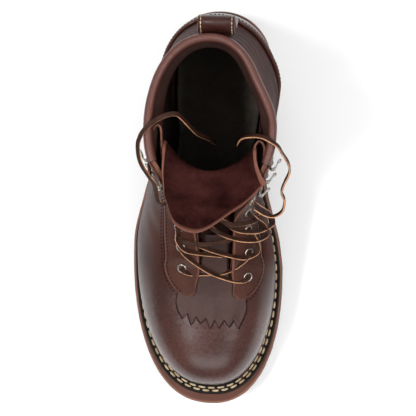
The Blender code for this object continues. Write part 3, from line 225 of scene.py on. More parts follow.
LACE_ENDS = {  # x, along and height of each free end of the lace, from the top eyelet into the shaft
    "lateral": [
        (-0.0320, 0.1505, 0.1275), (-0.0357, 0.1480, 0.1375), (-0.0362, 0.1415, 0.1490),
        (-0.0370, 0.1358, 0.1605),
        (-0.0402, 0.1312, 0.1690), (-0.0450, 0.1225, 0.1765), (-0.0467, 0.1120, 0.1795),
        (-0.0445, 0.1050, 0.1841),
        (-0.0406, 0.1000, 0.1873), (-0.0345, 0.0950, 0.1880), (-0.0276, 0.0912, 0.1871),
        (-0.0215, 0.0900, 0.1843),
        (-0.0180, 0.0920, 0.1790), (-0.0130, 0.0970, 0.1660), (-0.0085, 0.1010, 0.1460),
        (-0.0025, 0.1030, 0.1250), (0.0015, 0.1050, 0.1070),
    ],
    "medial": [
        (0.0318, 0.1515, 0.1210), (0.0385, 0.1555, 0.1190), (0.0455, 0.1568, 0.1180),
        (0.0515, 0.1525, 0.1200),
        (0.0527, 0.1450, 0.1250), (0.0505, 0.1395, 0.1320), (0.0522, 0.1335, 0.1410),
        (0.0554, 0.1260, 0.1520),
        (0.0545, 0.1200, 0.1620), (0.0502, 0.1140, 0.1745), (0.0474, 0.1100, 0.1835),
        (0.0427, 0.1068, 0.1883),
        (0.0362, 0.1040, 0.1890), (0.0287, 0.1036, 0.1855), (0.0235, 0.1045, 0.1760),
        (0.0210, 0.1065, 0.1610), (0.0200, 0.1080, 0.1450),
    ],
}


def smooth_table(rows, column, x):
    """Monotone cubic through a table's rows, flat beyond both ends."""
    xs = np.array([r[0] for r in rows], float)
    ys = np.array([r[column] for r in rows], float)
    h = np.diff(xs)
    slope = np.diff(ys) / h
    m = np.zeros(len(xs))
    for i in range(1, len(xs) - 1):
        if slope[i - 1] * slope[i] > 0:
            w1 = 2 * h[i] + h[i - 1]
            w2 = h[i] + 2 * h[i - 1]
            m[i] = (w1 + w2) / (w1 / slope[i - 1] + w2 / slope[i])
    x = np.clip(np.asarray(x, float), xs[0], xs[-1])
    k = np.clip(np.searchsorted(xs, x, side="right") - 1, 0, len(xs) - 2)
    t = (x - xs[k]) / h[k]
    return (
        ys[k] * (1 + 2 * t) * (1 - t) ** 2
        + m[k] * h[k] * t * (1 - t) ** 2
        + ys[k + 1] * t * t * (3 - 2 * t)
        + m[k + 1] * h[k] * t * t * (t - 1)
    )


def smoothstep(low, high, x):
    t = np.clip((np.asarray(x, float) - low) / (high - low), 0.0, 1.0)
    return t * t * (3 - 2 * t)


def unit(v):
    v = np.asarray(v, float)
    return v / np.maximum(np.linalg.norm(v, axis=-1, keepdims=True), 1e-12)


def tread_base(along):
    """Height of the outsole's flat underside, between its lugs."""
    seat = HEEL_STACK_TOP + GAP + HEEL_PITCH_RISE * (1 - np.clip(along / HEEL_LENGTH, 0, 1))
    arch = smoothstep(HEEL_LENGTH * 0.96, FLAT_START, along)
    spring = np.clip((along - FLAT_END) / (SOLE_LENGTH - FLAT_END), 0, None) ** 2
    return seat + (LUG_DEPTH - seat) * arch + TOE_SPRING * spring


def outsole_top(along):
    return tread_base(along) + OUTSOLE_THICKNESS


def midsole_bottom(along):
    return outsole_top(along) + GAP


def midsole_top(along):
    return midsole_bottom(along) + MIDSOLE_THICKNESS


def welt_bottom(along):
    return midsole_top(along) + GAP


def feather(along):
    """Top of the welt, where the upper meets the sole."""
    return welt_bottom(along) + WELT_THICKNESS


def half_width(along, side, inset=0.0, heel_inset=0.0, toe_inset=0.0):
    """Half width of the sole's plan on one side (-1 lateral, 1 medial), shrunk by the insets."""
    along = np.asarray(along, float)
    inset = np.asarray(inset, float) + np.zeros_like(along)
    middle = smooth_table(OUTLINE[side], 1, along / SOLE_LENGTH) * BALL_WIDTH - inset
    heel_end = HEEL_ROUND_END * SOLE_LENGTH
    toe_start = WIDEST[side] * SOLE_LENGTH
    q = np.clip((heel_end - along) / (heel_end - heel_inset), 0, 1)
    p = np.clip((along - toe_start) / (SOLE_LENGTH - toe_inset - toe_start), 0, 1)
    heel = (1 - q**HEEL_POWER) ** (1 / HEEL_POWER)
    toe = (1 - p ** TOE_POWER[side]) ** (1 / TOE_POWER[side])
    return middle * heel * toe


def ledge(along):
    return smooth_table(LEDGE, 1, np.asarray(along, float) / SOLE_LENGTH) * SOLE_LENGTH


def upper_half(along, side):
    """Half width of the upper at its widest line, from the sole's plan."""
    return half_width(along, side, ledge(along), LEDGE_HEEL_TIP, LEDGE_TOE_TIP)


def toe_radii(count=181):
    """Distance from the toe centre to the upper's widest line, by angle from lateral to medial."""
    centre = TOE_CENTRE * SOLE_LENGTH
    tip = SOLE_LENGTH - LEDGE_TOE_TIP
    a = centre + (tip - centre) * np.sin(np.linspace(0, math.pi / 2, count))
    angles, radii = [], []
    for side in (-1, 1):
        w = upper_half(a, side)
        angle = np.arctan2(side * w, a - centre)
        order = slice(None) if side < 0 else slice(None, None, -1)
        angles.append(angle[order])
        radii.append(np.hypot(w, a - centre)[order])
    return np.concatenate(angles), np.concatenate(radii)


TOE_ANGLES, TOE_RADII = toe_radii()
SORTED = np.argsort(TOE_ANGLES)
TOE_ANGLES, TOE_RADII = TOE_ANGLES[SORTED], TOE_RADII[SORTED]


def foot_field(x, along, z):
    """Negative inside the foot part of the last, about in metres."""
    centre = TOE_CENTRE * SOLE_LENGTH
    heel = HEEL_ROUND_END * SOLE_LENGTH
    a = np.asarray(along, float)
    middle_part = np.clip(a, heel, centre)
    slim = HEEL_INSET * (1 - smoothstep(0.20, 0.42, a / SOLE_LENGTH))
    w = np.where(x < 0, upper_half(middle_part, -1), upper_half(middle_part, 1)) - slim
    back = np.maximum(heel - a, 0) / (heel - LEDGE_HEEL_TIP - HEEL_INSET)
    rho_side = ((np.abs(x) / w) ** HEEL_POWER + back**HEEL_POWER) ** (1 / HEEL_POWER)
    angle = np.arctan2(x, np.maximum(a - centre, 1e-9))
    rho_toe = np.hypot(x, a - centre) / np.interp(angle, TOE_ANGLES, TOE_RADII)
    rho = np.where(a > centre, rho_toe, rho_side)
    share = a / SOLE_LENGTH
    ridge = smooth_table(RIDGE, 1, share) * COLLAR_HEIGHT
    power = smooth_table(RIDGE, 2, share)
    middle = feather(np.clip(a, 0, SOLE_LENGTH)) + BULGE_HEIGHT
    up = np.maximum(z - middle, 0) / (ridge - BULGE_HEIGHT)
    down = np.maximum(middle - z, 0) / (BULGE_HEIGHT * TUCK)
    return ((rho**power + (up + down) ** power) ** (1 / power) - 1) * 0.05


def shaft_field(x, along, z):
    """Negative inside the heel and shaft part of the last."""
    seat = feather(0.0)
    level = (z - seat) / (COLLAR_HEIGHT - seat)
    back, centre, front = (smooth_table(SHAFT, c, level) * SOLE_LENGTH for c in (1, 2, 3))
    reach = np.where(along < centre, centre - back, front - centre)
    q = np.abs(along - centre) / reach
    lateral, medial, slim = (smooth_table(SHAFT, c, level) * SHAFT_WIDTH for c in (4, 5, 6))
    medial = medial + (slim - medial) * np.where(along < centre, smoothstep(0.0, 0.65, q), 0.0)
    w = np.where(x < 0, lateral, medial)
    return ((q**SHAFT_POWER + (np.abs(x) / w) ** SHAFT_POWER) ** (1 / SHAFT_POWER) - 1) * 0.045


def field(points):
    """The upper's outer surface is where this is 0: a smooth union of foot and shaft."""
    x, along, z = points[..., 0], ORIGIN_ALONG - points[..., 1], points[..., 2]
    foot, shaft = foot_field(x, along, z), shaft_field(x, along, z)
    h = np.clip(0.5 + 0.5 * (foot - shaft) / FIELD_BLEND, 0, 1)
    return foot + (shaft - foot) * h - FIELD_BLEND * h * (1 - h)


def gradient(points):
    step = 2e-4
    g = np.zeros(points.shape)
    for axis in range(3):
        d = np.zeros(3)
        d[axis] = step
        g[..., axis] = (field(points + d) - field(points - d)) / (2 * step)
    return g


def normals(points):
    return unit(gradient(points))


def cast(start, direction, low=-0.012, high=0.075, samples=88):
    """Where rays from inside first leave the surface."""
    direction = unit(direction)
    lam = np.linspace(low, high, samples)
    values = np.stack([field(start + direction * v) for v in lam])
    leaves = (values[:-1] < 0) & (values[1:] >= 0)
    first = np.argmax(leaves, axis=0)
    a, b = lam[first], lam[first + 1]
    for _ in range(30):
        m = (a + b) / 2
        outside = field(start + direction * m[..., None]) >= 0
        b = np.where(outside, m, b)
        a = np.where(outside, a, m)
    return start + direction * ((a + b) / 2)[..., None]


def settle(points):
    """Nearest point on the surface, by Newton steps."""
    p = np.array(points, float)
    for _ in range(12):
        g = gradient(p)
        p = p - (field(p) / np.maximum((g * g).sum(-1), 1e-6))[..., None] * g
    return p


def world(x, along, z):
    x, along, z = np.broadcast_arrays(*(np.asarray(v, float) for v in (x, along, z)))
    return np.stack([x, ORIGIN_ALONG - along, z], axis=-1)


def arc_length(path):
    return np.concatenate([[0], np.cumsum(np.linalg.norm(np.diff(path, axis=0), axis=1))])


def at_distances(distances, length, points):
    """Values between a polyline's points, at distances along it."""
    return np.stack([np.interp(distances, length, column) for column in points.T], axis=-1)


def resample(points, shares):
    """Points at shares of a polyline's length."""
    d = arc_length(points)
    return at_distances(np.asarray(shares) * d[-1], d, points)


def spline(points, per_span):
    """Smooth curve through points, by Catmull-Rom spans."""
    p = np.asarray(points, float)
    p = np.vstack([2 * p[0] - p[1], p, 2 * p[-1] - p[-2]])
    out = []
    for i in range(1, len(p) - 2):
        for t in np.linspace(0, 1, per_span, endpoint=False):
            square = 2 * p[i - 1] - 5 * p[i] + 4 * p[i + 1] - p[i + 2]
            cube = 3 * p[i] - p[i - 1] - 3 * p[i + 1] + p[i + 2]
            out.append(0.5 * (2 * p[i] + (p[i + 1] - p[i - 1]) * t + square * t**2 + cube * t**3))
    out.append(p[-2])
    return np.array(out)


def feather_loop(side, count=400):
    """The upper's foot on one side, from the toe tip to the back of the heel, on the sole's plan."""
    t = np.linspace(0, 1, count)
    low, high = LEDGE_HEEL_TIP, SOLE_LENGTH - LEDGE_TOE_TIP
    along = low + (high - low) * (0.5 + 0.5 * np.cos(math.pi * t))
    return world(side * upper_half(along, side) * 0.9, along, feather(along) + SEAT_GAP)


def throat_edge(side, shares):
    """Seed points of the throat's edge at shares of its length, 0 at its foot and 1 at the collar."""
    rows = np.array(THROAT)
    seeds = world(
        (rows[:, 2] + side * rows[:, 1]) * SHAFT_WIDTH, rows[:, 0] * SOLE_LENGTH, rows[:, 3] * shaft_top()
    )
    return resample(spline(seeds, 8), shares)


def shaft_top():
    """Height of the upper's top rim, under the rolled collar."""
    return COLLAR_HEIGHT - COLLAR_ROLL_HEIGHT - GAP


def collar_line(along):
    """The rim dips slightly towards the back."""
    corner = THROAT[-1][0] * SOLE_LENGTH
    back = SHAFT[-1][1] * SOLE_LENGTH
    return shaft_top() - COLLAR_DIP * smoothstep(corner, back, along)


def collar_edge(side, shares):
    """Seed points of the collar's rim from its front corner round to the back."""
    corner = THROAT[-1]
    centre, back = SHAFT[-1][2] * SOLE_LENGTH, SHAFT[-1][1] * SOLE_LENGTH
    start = math.atan2((corner[0] * SOLE_LENGTH - centre) / 0.05, corner[1] * SHAFT_WIDTH / 0.042)
    a = np.linspace(start, -math.pi / 2, 60)
    along = centre + np.where(a > 0, 0.05, centre - back) * np.sin(a)
    x = side * 0.040 * np.cos(a)
    return resample(world(x, along, collar_line(along)), shares)


def upper_columns(side, throat_columns, collar_columns):
    """Foot points, top points, outward directions and upward shares for each column of one side."""
    loop = feather_loop(side)
    split = 0.47
    v = np.linspace(0, 1, throat_columns + 1)
    w = np.linspace(0, 1, collar_columns + 1)[1:]
    foot = resample(loop, np.concatenate([split * v**1.15, split + (1 - split) * w]))
    top = np.vstack([throat_edge(side, 0.75 * v + 0.25 * v**3), collar_edge(side, w)])
    top[: throat_columns + 1, 2] = np.minimum(top[: throat_columns + 1, 2], shaft_top())
    tangent = np.gradient(foot, axis=0)
    out = np.stack([tangent[:, 1], -tangent[:, 0], np.zeros(len(foot))], axis=-1) * side
    out = unit(out)
    out[0] = (0, -1, 0)
    out[-1] = (0, 1, 0)
    rise = np.concatenate([0.92 - 0.55 * v**1.5, 0.37 * (1 - smoothstep(0, 0.35, w))])
    rise[: throat_columns + 1] -= 0.37 * v**6
    rise[throat_columns + 1 :] *= 0
    return foot, top, out, np.maximum(rise, 0)


def upper_grid(throat_columns, collar_columns, rows):
    """Rings of points from the feather line (first) to the throat and collar edge (last).
    Each ring starts at the toe, runs up the lateral side, round the heel and back on the medial side."""
    sides = []
    for side in (-1, 1):
        foot, top, out, rise = upper_columns(side, throat_columns, collar_columns)
        t = np.linspace(0, 1, rows)
        t = (t + 0.35 * t * t * (1 - t) - 0.30 * t * (1 - t) ** 2)[:, None, None]
        chord = foot + (top - foot) * t
        up = rise[None, :, None] * np.minimum(t * 1.6, 1.0)
        direction = (1 - up) * out[None] + up * np.array([0, 0, 1.0])
        sides.append(cast(chord, direction))
    lateral, medial = sides
    middle = (lateral[:, 0] + medial[:, 0]) / 2
    lateral[:, 0] = middle
    ring = np.concatenate([lateral, medial[:, -2:0:-1]], axis=1)
    ring[0, :, 2] = feather(ORIGIN_ALONG - ring[0, :, 1]) + SEAT_GAP
    return ring


def ring_faces(rows, columns, offset=0):
    """Quads of a grid whose columns close on themselves."""
    faces = []
    for low in range(offset, offset + (rows - 1) * columns, columns):
        high = low + columns
        faces += [(low + c, low + (c + 1) % columns, high + (c + 1) % columns,
                   high + c) for c in range(columns)]
    return faces


def tube_faces(rows, columns):
    """Quads of a grid that closes on itself both ways."""
    end = (rows - 1) * columns
    last = [(end + c, end + (c + 1) % columns, (c + 1) % columns, c) for c in range(columns)]
    return ring_faces(rows, columns) + last


def shell_of_rings(outer, inner):
    """Closed wall between two sets of rings, open at its first and last ring."""
    rows, columns = outer.shape[:2]
    n = rows * columns
    faces = ring_faces(rows, columns) + [f[::-1] for f in ring_faces(rows, columns, n)]
    for row in (0, rows - 1):
        for c in range(columns):
            a, b = row * columns + c, row * columns + (c + 1) % columns
            faces.append((a, b, b + n, a + n) if row else (b, a, a + n, b + n))
    return np.concatenate([outer.reshape(-1, 3), inner.reshape(-1, 3)]), faces


def sheet_solid(outer, inner):
    """Closed solid between two open grids of the same shape."""
    rows, columns = outer.shape[:2]
    n = rows * columns
    faces = []
    for r in range(rows - 1):
        for c in range(columns - 1):
            q = (r * columns + c, r * columns + c + 1, (r + 1) * columns + c + 1, (r + 1) * columns + c)
            faces += [q, tuple(i + n for i in q[::-1])]
    rim = list(range(columns))
    rim += [r * columns + columns - 1 for r in range(1, rows)]
    rim += [(rows - 1) * columns + c for c in range(columns - 2, -1, -1)]
    rim += [r * columns for r in range(rows - 2, 0, -1)]
    for a, b in zip(rim, rim[1:] + rim[:1]):
        faces.append((b, a, a + n, b + n))
    return np.concatenate([outer.reshape(-1, 3), inner.reshape(-1, 3)]), faces


def loft(sections):
    """Closed solid through closed sections of equal point count, with flat ends."""
    sections = np.asarray(sections, float)
    count, points = sections.shape[:2]
    faces = ring_faces(count, points)
    faces.append(tuple(range(points))[::-1])
    faces.append(tuple((count - 1) * points + i for i in range(points)))
    return sections.reshape(-1, 3), faces


def edge_frames(side, distances):
    """Surface point, outward normal and direction away from the throat at distances along its edge."""
    dense = settle(throat_edge(side, np.linspace(0, 1, 240)))
    length = arc_length(dense)
    p, q, r = (at_distances(np.asarray(distances) + shift, length, dense) for shift in (0.0, 0.002, -0.002))
    n = normals(p)
    away = unit(np.cross(q - r, n)) * side
    return p, n, away, length[-1]


def walk(points, away, distance, steps=6):
    """Moves points over the surface, away from the throat, by a distance."""
    p, d = np.array(points), np.array(away)
    step = np.asarray(distance) / steps
    for _ in range(steps):
        moved = p + d * (step[..., None] if np.ndim(step) else step)
        q = settle(moved)
        n = normals(q)
        d = unit(d - (d * n).sum(-1, keepdims=True) * n)
        p = q
    return p


def facing_outline(distance, length):
    """Near and far edge of the facing, from the throat's edge, with a round lower end."""
    t = np.clip((distance - FACING_START) / (FACING_WIDTH * 0.55), 0, 1)
    round_end = np.sqrt(1 - (1 - t) ** 2)
    middle = FACING_WIDTH * 0.45
    near = middle - (middle - 0.0002) * round_end
    far = middle + (FACING_WIDTH * (1 - 0.10 * distance / length) - middle) * round_end
    return near, far


def back_line(z):
    """The surface's rearmost point at a height, on the middle plane."""
    z = np.asarray(z, float)
    start = world(np.zeros_like(z), np.full_like(z, 0.075), z)
    return cast(start, np.array([0.0, 1.0, 0.0]) + 0 * start, low=0.0, high=0.09)


def keep_inside(points):
    """Moves points that lie too close to the upper's wall, or in it, inwards."""
    q = settle(points)
    n = normals(q)
    depth = ((q - points) * n).sum(-1, keepdims=True)
    least = WALL + TONGUE_DEPTH + TONGUE_THICKNESS / 2
    return np.where(depth < least, q - n * least, points)


def tongue_grid(columns=9, per_row=1):
    """Middle surface of the tongue: it follows the instep inside, folds forward at the top and drapes."""
    share = np.linspace(-1, 1, columns)
    rows = []
    for a, h, w in TONGUE:
        x = (smooth_table(THROAT[::-1], 2, a) + w * share) * SHAFT_WIDTH
        start = world(x * 0.93, a * SOLE_LENGTH, 0.40 * COLLAR_HEIGHT)
        p = cast(start, np.array([0.0, -0.25, 1.0]) + 0 * start, low=-0.02, high=0.11)
        rows.append(p - normals(p) * (WALL + TONGUE_DEPTH + TONGUE_THICKNESS / 2))
    for points in FOLD:
        q = np.array(points) * (SHAFT_WIDTH, SOLE_LENGTH, COLLAR_HEIGHT)
        dense = spline(world(q[:, 0], q[:, 1], q[:, 2]), 8)
        row = dense[np.round((share + 1) / 2 * (len(dense) - 1)).astype(int)]
        rows.append(row)
    grid = np.array(rows)
    grid = np.stack([spline(grid[:, c], per_row) for c in range(columns)], axis=1)
    inside = per_row * (len(TONGUE) + 1)
    grid[:inside] = keep_inside(grid[:inside])
    return grid


def grid_normals(grid):
    u = np.gradient(grid, axis=0)
    v = np.gradient(grid, axis=1)
    return unit(np.cross(u, v))


def disc_rings(centre, normal, radii_heights, count):
    """Rings of points round an axis, one for each (radius, height)."""
    a = unit(np.cross(normal, (0.31, 0.52, 0.79)))
    b = np.cross(normal, a)
    t = np.linspace(0, 2 * math.pi, count, endpoint=False)
    circle = np.cos(t)[:, None] * a + np.sin(t)[:, None] * b
    return np.array([centre + circle * r + normal * h for r, h in radii_heights])


FACING_SEAT = 0.0003
LACE_WIDTH = 0.0031
LACE_THICKNESS = 0.0015


# Materials


def nodes_of(name):
    material = bpy.data.materials.new(name)
    material.use_nodes = True
    tree = material.node_tree
    return material, tree, tree.nodes["Principled BSDF"]


def textured(name):
    """Material, its tree and shader, and the object's own coordinates."""
    material, tree, shader = nodes_of(name)
    return material, tree, shader, tree.nodes.new("ShaderNodeTexCoord").outputs["Object"]


def add(tree, kind, **inputs):
    node = tree.nodes.new(kind)
    for key, value in inputs.items():
        node.inputs[key.replace("_", " ")].default_value = value
    return node


def noise(tree, coords, scale, detail=3.0, roughness=0.5):
    node = add(tree, "ShaderNodeTexNoise", Scale=scale, Detail=detail, Roughness=roughness)
    tree.links.new(coords, node.inputs["Vector"])
    return node.outputs["Fac"]


def ranged(tree, value, low, high, to_low, to_high):
    node = tree.nodes.new("ShaderNodeMapRange")
    tree.links.new(value, node.inputs["Value"])
    for key, number in zip(("From Min", "From Max", "To Min", "To Max"), (low, high, to_low, to_high)):
        node.inputs[key].default_value = number
    return node.outputs["Result"]


def arithmetic(tree, operation, a, b):
    node = tree.nodes.new("ShaderNodeMath")
    node.operation = operation
    for socket, value in zip(node.inputs, (a, b)):
        if isinstance(value, (int, float)):
            socket.default_value = value
        else:
            tree.links.new(value, socket)
    return node.outputs[0]


def mixed(tree, factor, a, b):
    node = tree.nodes.new("ShaderNodeMix")
    node.data_type = "RGBA"
    colors = [s for s in node.inputs if s.type == "RGBA"]
    for socket, value in zip(colors, (a, b)):
        if isinstance(value, tuple):
            socket.default_value = (*value, 1.0)
        else:
            tree.links.new(value, socket)
    tree.links.new(factor, node.inputs["Factor"])
    return [s for s in node.outputs if s.type == "RGBA"][0]


def attribute(tree, name):
    node = tree.nodes.new("ShaderNodeAttribute")
    node.attribute_name = name
    return node.outputs["Fac"]


def weighted(tree, a, share, b):
    return arithmetic(tree, "ADD", arithmetic(tree, "MULTIPLY", a, share),
                      arithmetic(tree, "MULTIPLY", b, 1 - share))


def toned(tree, tone, color, shadow, wear_and_highlight):
    """Colour that goes towards a painted-shade colour where the tone is below 0 and towards a colour for
    wear, lighter parts and painted highlights where it is above.
    """
    color = mixed(tree, ranged(tree, tone, 0.0, -1.0, 0.0, 1.0), color, shadow)
    return mixed(tree, ranged(tree, tone, 0.0, 1.0, 0.0, 1.0), color, wear_and_highlight)


def bumped(tree, shader, layers, strength):
    """Chain of bumps from (height, distance in metres) layers."""
    previous = None
    for height, distance in layers:
        bump = add(tree, "ShaderNodeBump", Strength=strength, Distance=distance)
        tree.links.new(height, bump.inputs["Height"])
        if previous is not None:
            tree.links.new(previous, bump.inputs["Normal"])
        previous = bump.outputs["Normal"]
    tree.links.new(previous, shader.inputs["Normal"])


def leather(name, dark, light, roughness, shine, grain=0.00012, wear_and_highlight=None, grain_scale=950.0, polish=None):
    """Leather with mottling, grain and pores; the tone attribute darkens it as painted shade or lightens it
    towards a colour for wear, lighter parts and painted highlights, gloss polishes it.
    """
    material, tree, shader, coords = textured(name)
    broad = noise(tree, coords, 38.0, 3.0, 0.55)
    fine = noise(tree, coords, 420.0, 4.0, 0.6)
    cloud = weighted(tree, broad, 0.75, fine)
    color = mixed(tree, ranged(tree, cloud, 0.36, 0.66, 0.0, 1.0), dark, light)
    tone = attribute(tree, "tone")
    color = toned(tree, tone, color, tuple(c * 0.35 for c in dark), wear_and_highlight or light)
    tree.links.new(color, shader.inputs["Base Color"])
    cells = add(tree, "ShaderNodeTexVoronoi", Scale=grain_scale)
    cells.feature = "DISTANCE_TO_EDGE"
    tree.links.new(coords, cells.inputs["Vector"])
    pebble = ranged(tree, cells.outputs["Distance"], 0.0, 0.22, 0.0, 1.0)
    pores = noise(tree, coords, 2600.0, 2.0, 0.6)
    lumps = noise(tree, coords, 130.0, 3.0, 0.5)
    bumped(tree, shader, [(lumps, grain * 5), (pebble, grain), (pores, grain * 0.6)], 0.55)
    rough = arithmetic(tree, "ADD", ranged(tree, fine, 0.3, 0.7, roughness - 0.05, roughness + 0.06),
                       arithmetic(tree, "MULTIPLY", tone, -0.04))
    if polish is None:
        shader.inputs["Specular IOR Level"].default_value = shine
    else:
        gloss = attribute(tree, "gloss")
        rough = arithmetic(tree, "ADD", rough, ranged(tree, gloss, 0.0, 1.0, 0.16, 0.0))
        tree.links.new(ranged(tree, gloss, 0.0, 1.0, shine, polish), shader.inputs["Specular IOR Level"])
    tree.links.new(rough, shader.inputs["Roughness"])
    return material


def suede(name, dark, light):
    """Flesh side of leather: matt nap with soft dark and light patches."""
    material, tree, shader, coords = textured(name)
    patches = noise(tree, coords, 60.0, 4.0, 0.6)
    nap = noise(tree, coords, 1500.0, 5.0, 0.75)
    value = weighted(tree, patches, 0.6, nap)
    color = mixed(tree, ranged(tree, value, 0.36, 0.64, 0.0, 1.0), dark, light)
    color = toned(tree, attribute(tree, "tone"), color, tuple(c * 0.4 for c in dark), (0.190, 0.080, 0.057))
    tree.links.new(color, shader.inputs["Base Color"])
    bumped(tree, shader, [(patches, 0.0006), (nap, 0.00025)], 0.8)
    shader.inputs["Roughness"].default_value = 0.92
    shader.inputs["Specular IOR Level"].default_value = 0.0
    return material


def fibrous(name, dark, light, roughness=0.8, scale=900.0):
    """Cut edge of leather, thread or rawhide: short fibres and uneven dye."""
    material, tree, shader, coords = textured(name)
    broad = noise(tree, coords, 160.0, 3.0, 0.6)
    fibre = noise(tree, coords, scale * 2.2, 4.0, 0.7)
    value = weighted(tree, broad, 0.55, fibre)
    color = mixed(tree, ranged(tree, value, 0.36, 0.64, 0.0, 1.0), dark, light)
    tree.links.new(color, shader.inputs["Base Color"])
    bumped(tree, shader, [(fibre, 0.00012)], 0.7)
    shader.inputs["Roughness"].default_value = roughness
    shader.inputs["Specular IOR Level"].default_value = 0.12
    return material


def metal(name, color, roughness):
    material, tree, shader, coords = textured(name)
    dull = noise(tree, coords, 700.0, 3.0, 0.6)
    tree.links.new(mixed(tree, ranged(tree, dull, 0.35, 0.7, 0.0, 1.0), color,
                         tuple(c * 0.62 for c in color)),
                   shader.inputs["Base Color"])
    tree.links.new(ranged(tree, dull, 0.3, 0.7, roughness, roughness + 0.18), shader.inputs["Roughness"])
    bumped(tree, shader, [(dull, 0.00004)], 0.5)
    shader.inputs["Metallic"].default_value = 1.0
    return material


def rubber(name, dark, light):
    material, tree, shader, coords = textured(name)
    dust = noise(tree, coords, 90.0, 4.0, 0.6)
    fine = noise(tree, coords, 1800.0, 3.0, 0.6)
    tree.links.new(mixed(tree, ranged(tree, dust, 0.4, 0.72, 0.0, 1.0), dark, light),
                   shader.inputs["Base Color"])
    tree.links.new(ranged(tree, fine, 0.3, 0.7, 0.62, 0.82), shader.inputs["Roughness"])
    bumped(tree, shader, [(fine, 0.00010)], 0.7)
    return material


def stacked(name, dark, light, layer):
    """Heel block of leather layers: thin dark lines between lifts, polished edge."""
    material, tree, shader, coords = textured(name)
    split = tree.nodes.new("ShaderNodeSeparateXYZ")
    tree.links.new(coords, split.inputs[0])
    wander = arithmetic(tree, "MULTIPLY", noise(tree, coords, 30.0, 2.0), 0.0006)
    height = arithmetic(tree, "ADD", split.outputs["Z"], wander)
    phase = arithmetic(tree, "FRACT", arithmetic(tree, "DIVIDE", height, layer), 0.0)
    line = arithmetic(tree, "LESS_THAN", phase, 0.10)
    fibre = noise(tree, coords, 600.0, 4.0, 0.65)
    color = mixed(tree, ranged(tree, fibre, 0.35, 0.65, 0.0, 1.0), dark, light)
    color = mixed(tree, arithmetic(tree, "MULTIPLY", line, 0.75), color, tuple(c * 0.25 for c in dark))
    tree.links.new(color, shader.inputs["Base Color"])
    groove = arithmetic(tree, "SUBTRACT", 1.0, line)
    bumped(tree, shader, [(groove, 0.00015), (fibre, 0.00008)], 0.6)
    shader.inputs["Roughness"].default_value = 0.45
    shader.inputs["Coat Weight"].default_value = 0.15
    return material


VAMP = leather("vamp_leather", (0.0235, 0.0058, 0.0039), (0.0460, 0.0125, 0.0083), 0.28, 0.0, 0.00003,
               (0.095, 0.033, 0.023), 950.0, 0.62)
OVERLAY_LEATHER = leather("overlay_leather", (0.0300, 0.0095, 0.0062), (0.0560, 0.0200, 0.0135), 0.46, 0.13,
                          0.00014, (0.150, 0.060, 0.040), 700.0)
KILTIE_LEATHER = leather("kiltie_leather", (0.0310, 0.0135, 0.0108), (0.0500, 0.0225, 0.0180), 0.46, 0.24,
                         0.00012, (0.075, 0.035, 0.026))
COLLAR_LEATHER = leather("collar_leather_soft", (0.0250, 0.0072, 0.0055), (0.0490, 0.0157, 0.0121), 0.33,
                         0.26, 0.00010, (0.150, 0.060, 0.047))
LINING = leather("lining_leather", (0.0200, 0.0120, 0.0100), (0.0400, 0.0240, 0.0200), 0.60, 0.14, 0.00010,
                 (0.0400, 0.0125, 0.0092))
TONGUE_GRAIN = leather("tongue_grain", (0.0150, 0.0055, 0.0044), (0.0260, 0.0098, 0.0078), 0.50, 0.10,
                       0.00010)
SUEDE = suede("tongue_flesh", (0.0085, 0.0024, 0.0022), (0.0400, 0.0122, 0.0105))
RAW_EDGE = fibrous("raw_edge", (0.080, 0.0300, 0.0200), (0.200, 0.090, 0.062))
LACE_FACE = fibrous("lace_face", (0.0150, 0.0058, 0.0038), (0.0380, 0.0150, 0.0088), 0.62)
LACE_EDGE = fibrous("lace_edge", (0.240, 0.105, 0.048), (0.620, 0.330, 0.180), 0.7)
WELT_BLACK = leather("welt_leather", (0.0070, 0.0058, 0.0048), (0.0140, 0.0115, 0.0094), 0.55, 0.08, 0.00015)
EDGE_BROWN = leather("sole_edge", (0.0420, 0.0125, 0.0075), (0.0800, 0.0260, 0.0160), 0.42, 0.12, 0.00010,
                     (0.210, 0.100, 0.070))
HEEL_STACK = stacked("heel_stack", (0.046, 0.0155, 0.0095), (0.088, 0.031, 0.0195), 0.0044)
CREAM_THREAD = fibrous("cream_thread", (0.240, 0.175, 0.100), (0.620, 0.490, 0.320), 0.75, 1500.0)
# Dark brown for the stitches, also used for the sheet of painted shadow under the kiltie.
BROWN_THREAD_AND_SHADOW = fibrous("brown_thread_and_shadow", (0.0080, 0.0026, 0.0020), (0.0220, 0.0070, 0.0050), 0.7, 1500.0)
NICKEL = metal("nickel_silver", (0.40, 0.37, 0.33), 0.24)
RUBBER = rubber("black_rubber", (0.0090, 0.0082, 0.0075), (0.0220, 0.0200, 0.0180))
FOOTBED = leather("footbed", (0.0900, 0.0740, 0.0600), (0.1500, 0.1250, 0.1020), 0.7, 0.15)


# Mesh helpers


def piece(name, vertices, faces, materials, indices=None, nodes=(), smooth_angle=50,
          tone=None, gloss=None):
    """New piece on the body: a mesh with its materials, what it replaces, and its tone and gloss."""
    mesh = bpy.data.meshes.new(name)
    mesh.from_pydata(np.asarray(vertices).tolist(), [], faces)
    for material in materials:
        mesh.materials.append(material)
    if indices is not None:
        mesh.polygons.foreach_set("material_index", np.asarray(indices, dtype=np.int32))
    for key, values in (("tone", tone), ("gloss", gloss)):
        if values is not None:
            layer = mesh.attributes.new(key, "FLOAT", "POINT")
            layer.data.foreach_set("value", np.clip(np.asarray(values, float).ravel(), -1, 1))
    bm = bmesh.new()
    bm.from_mesh(mesh)
    bmesh.ops.recalc_face_normals(bm, faces=bm.faces)
    if bm.calc_volume(signed=True) < 0:
        bmesh.ops.reverse_faces(bm, faces=bm.faces)
    bm.to_mesh(mesh)
    bm.free()
    mesh.shade_smooth()
    mesh.set_sharp_from_angle(angle=math.radians(smooth_angle))
    obj = bpy.data.objects.new(name, mesh)
    bpy.context.scene.collection.objects.link(obj)
    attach(obj, "root")
    if nodes:
        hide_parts(*nodes)
    return obj


def even(path, step):
    """Points along a path at about an even step."""
    count = max(int(round(arc_length(path)[-1] / step)), 2)
    return resample(np.asarray(path, float), np.linspace(0, 1, count + 1))


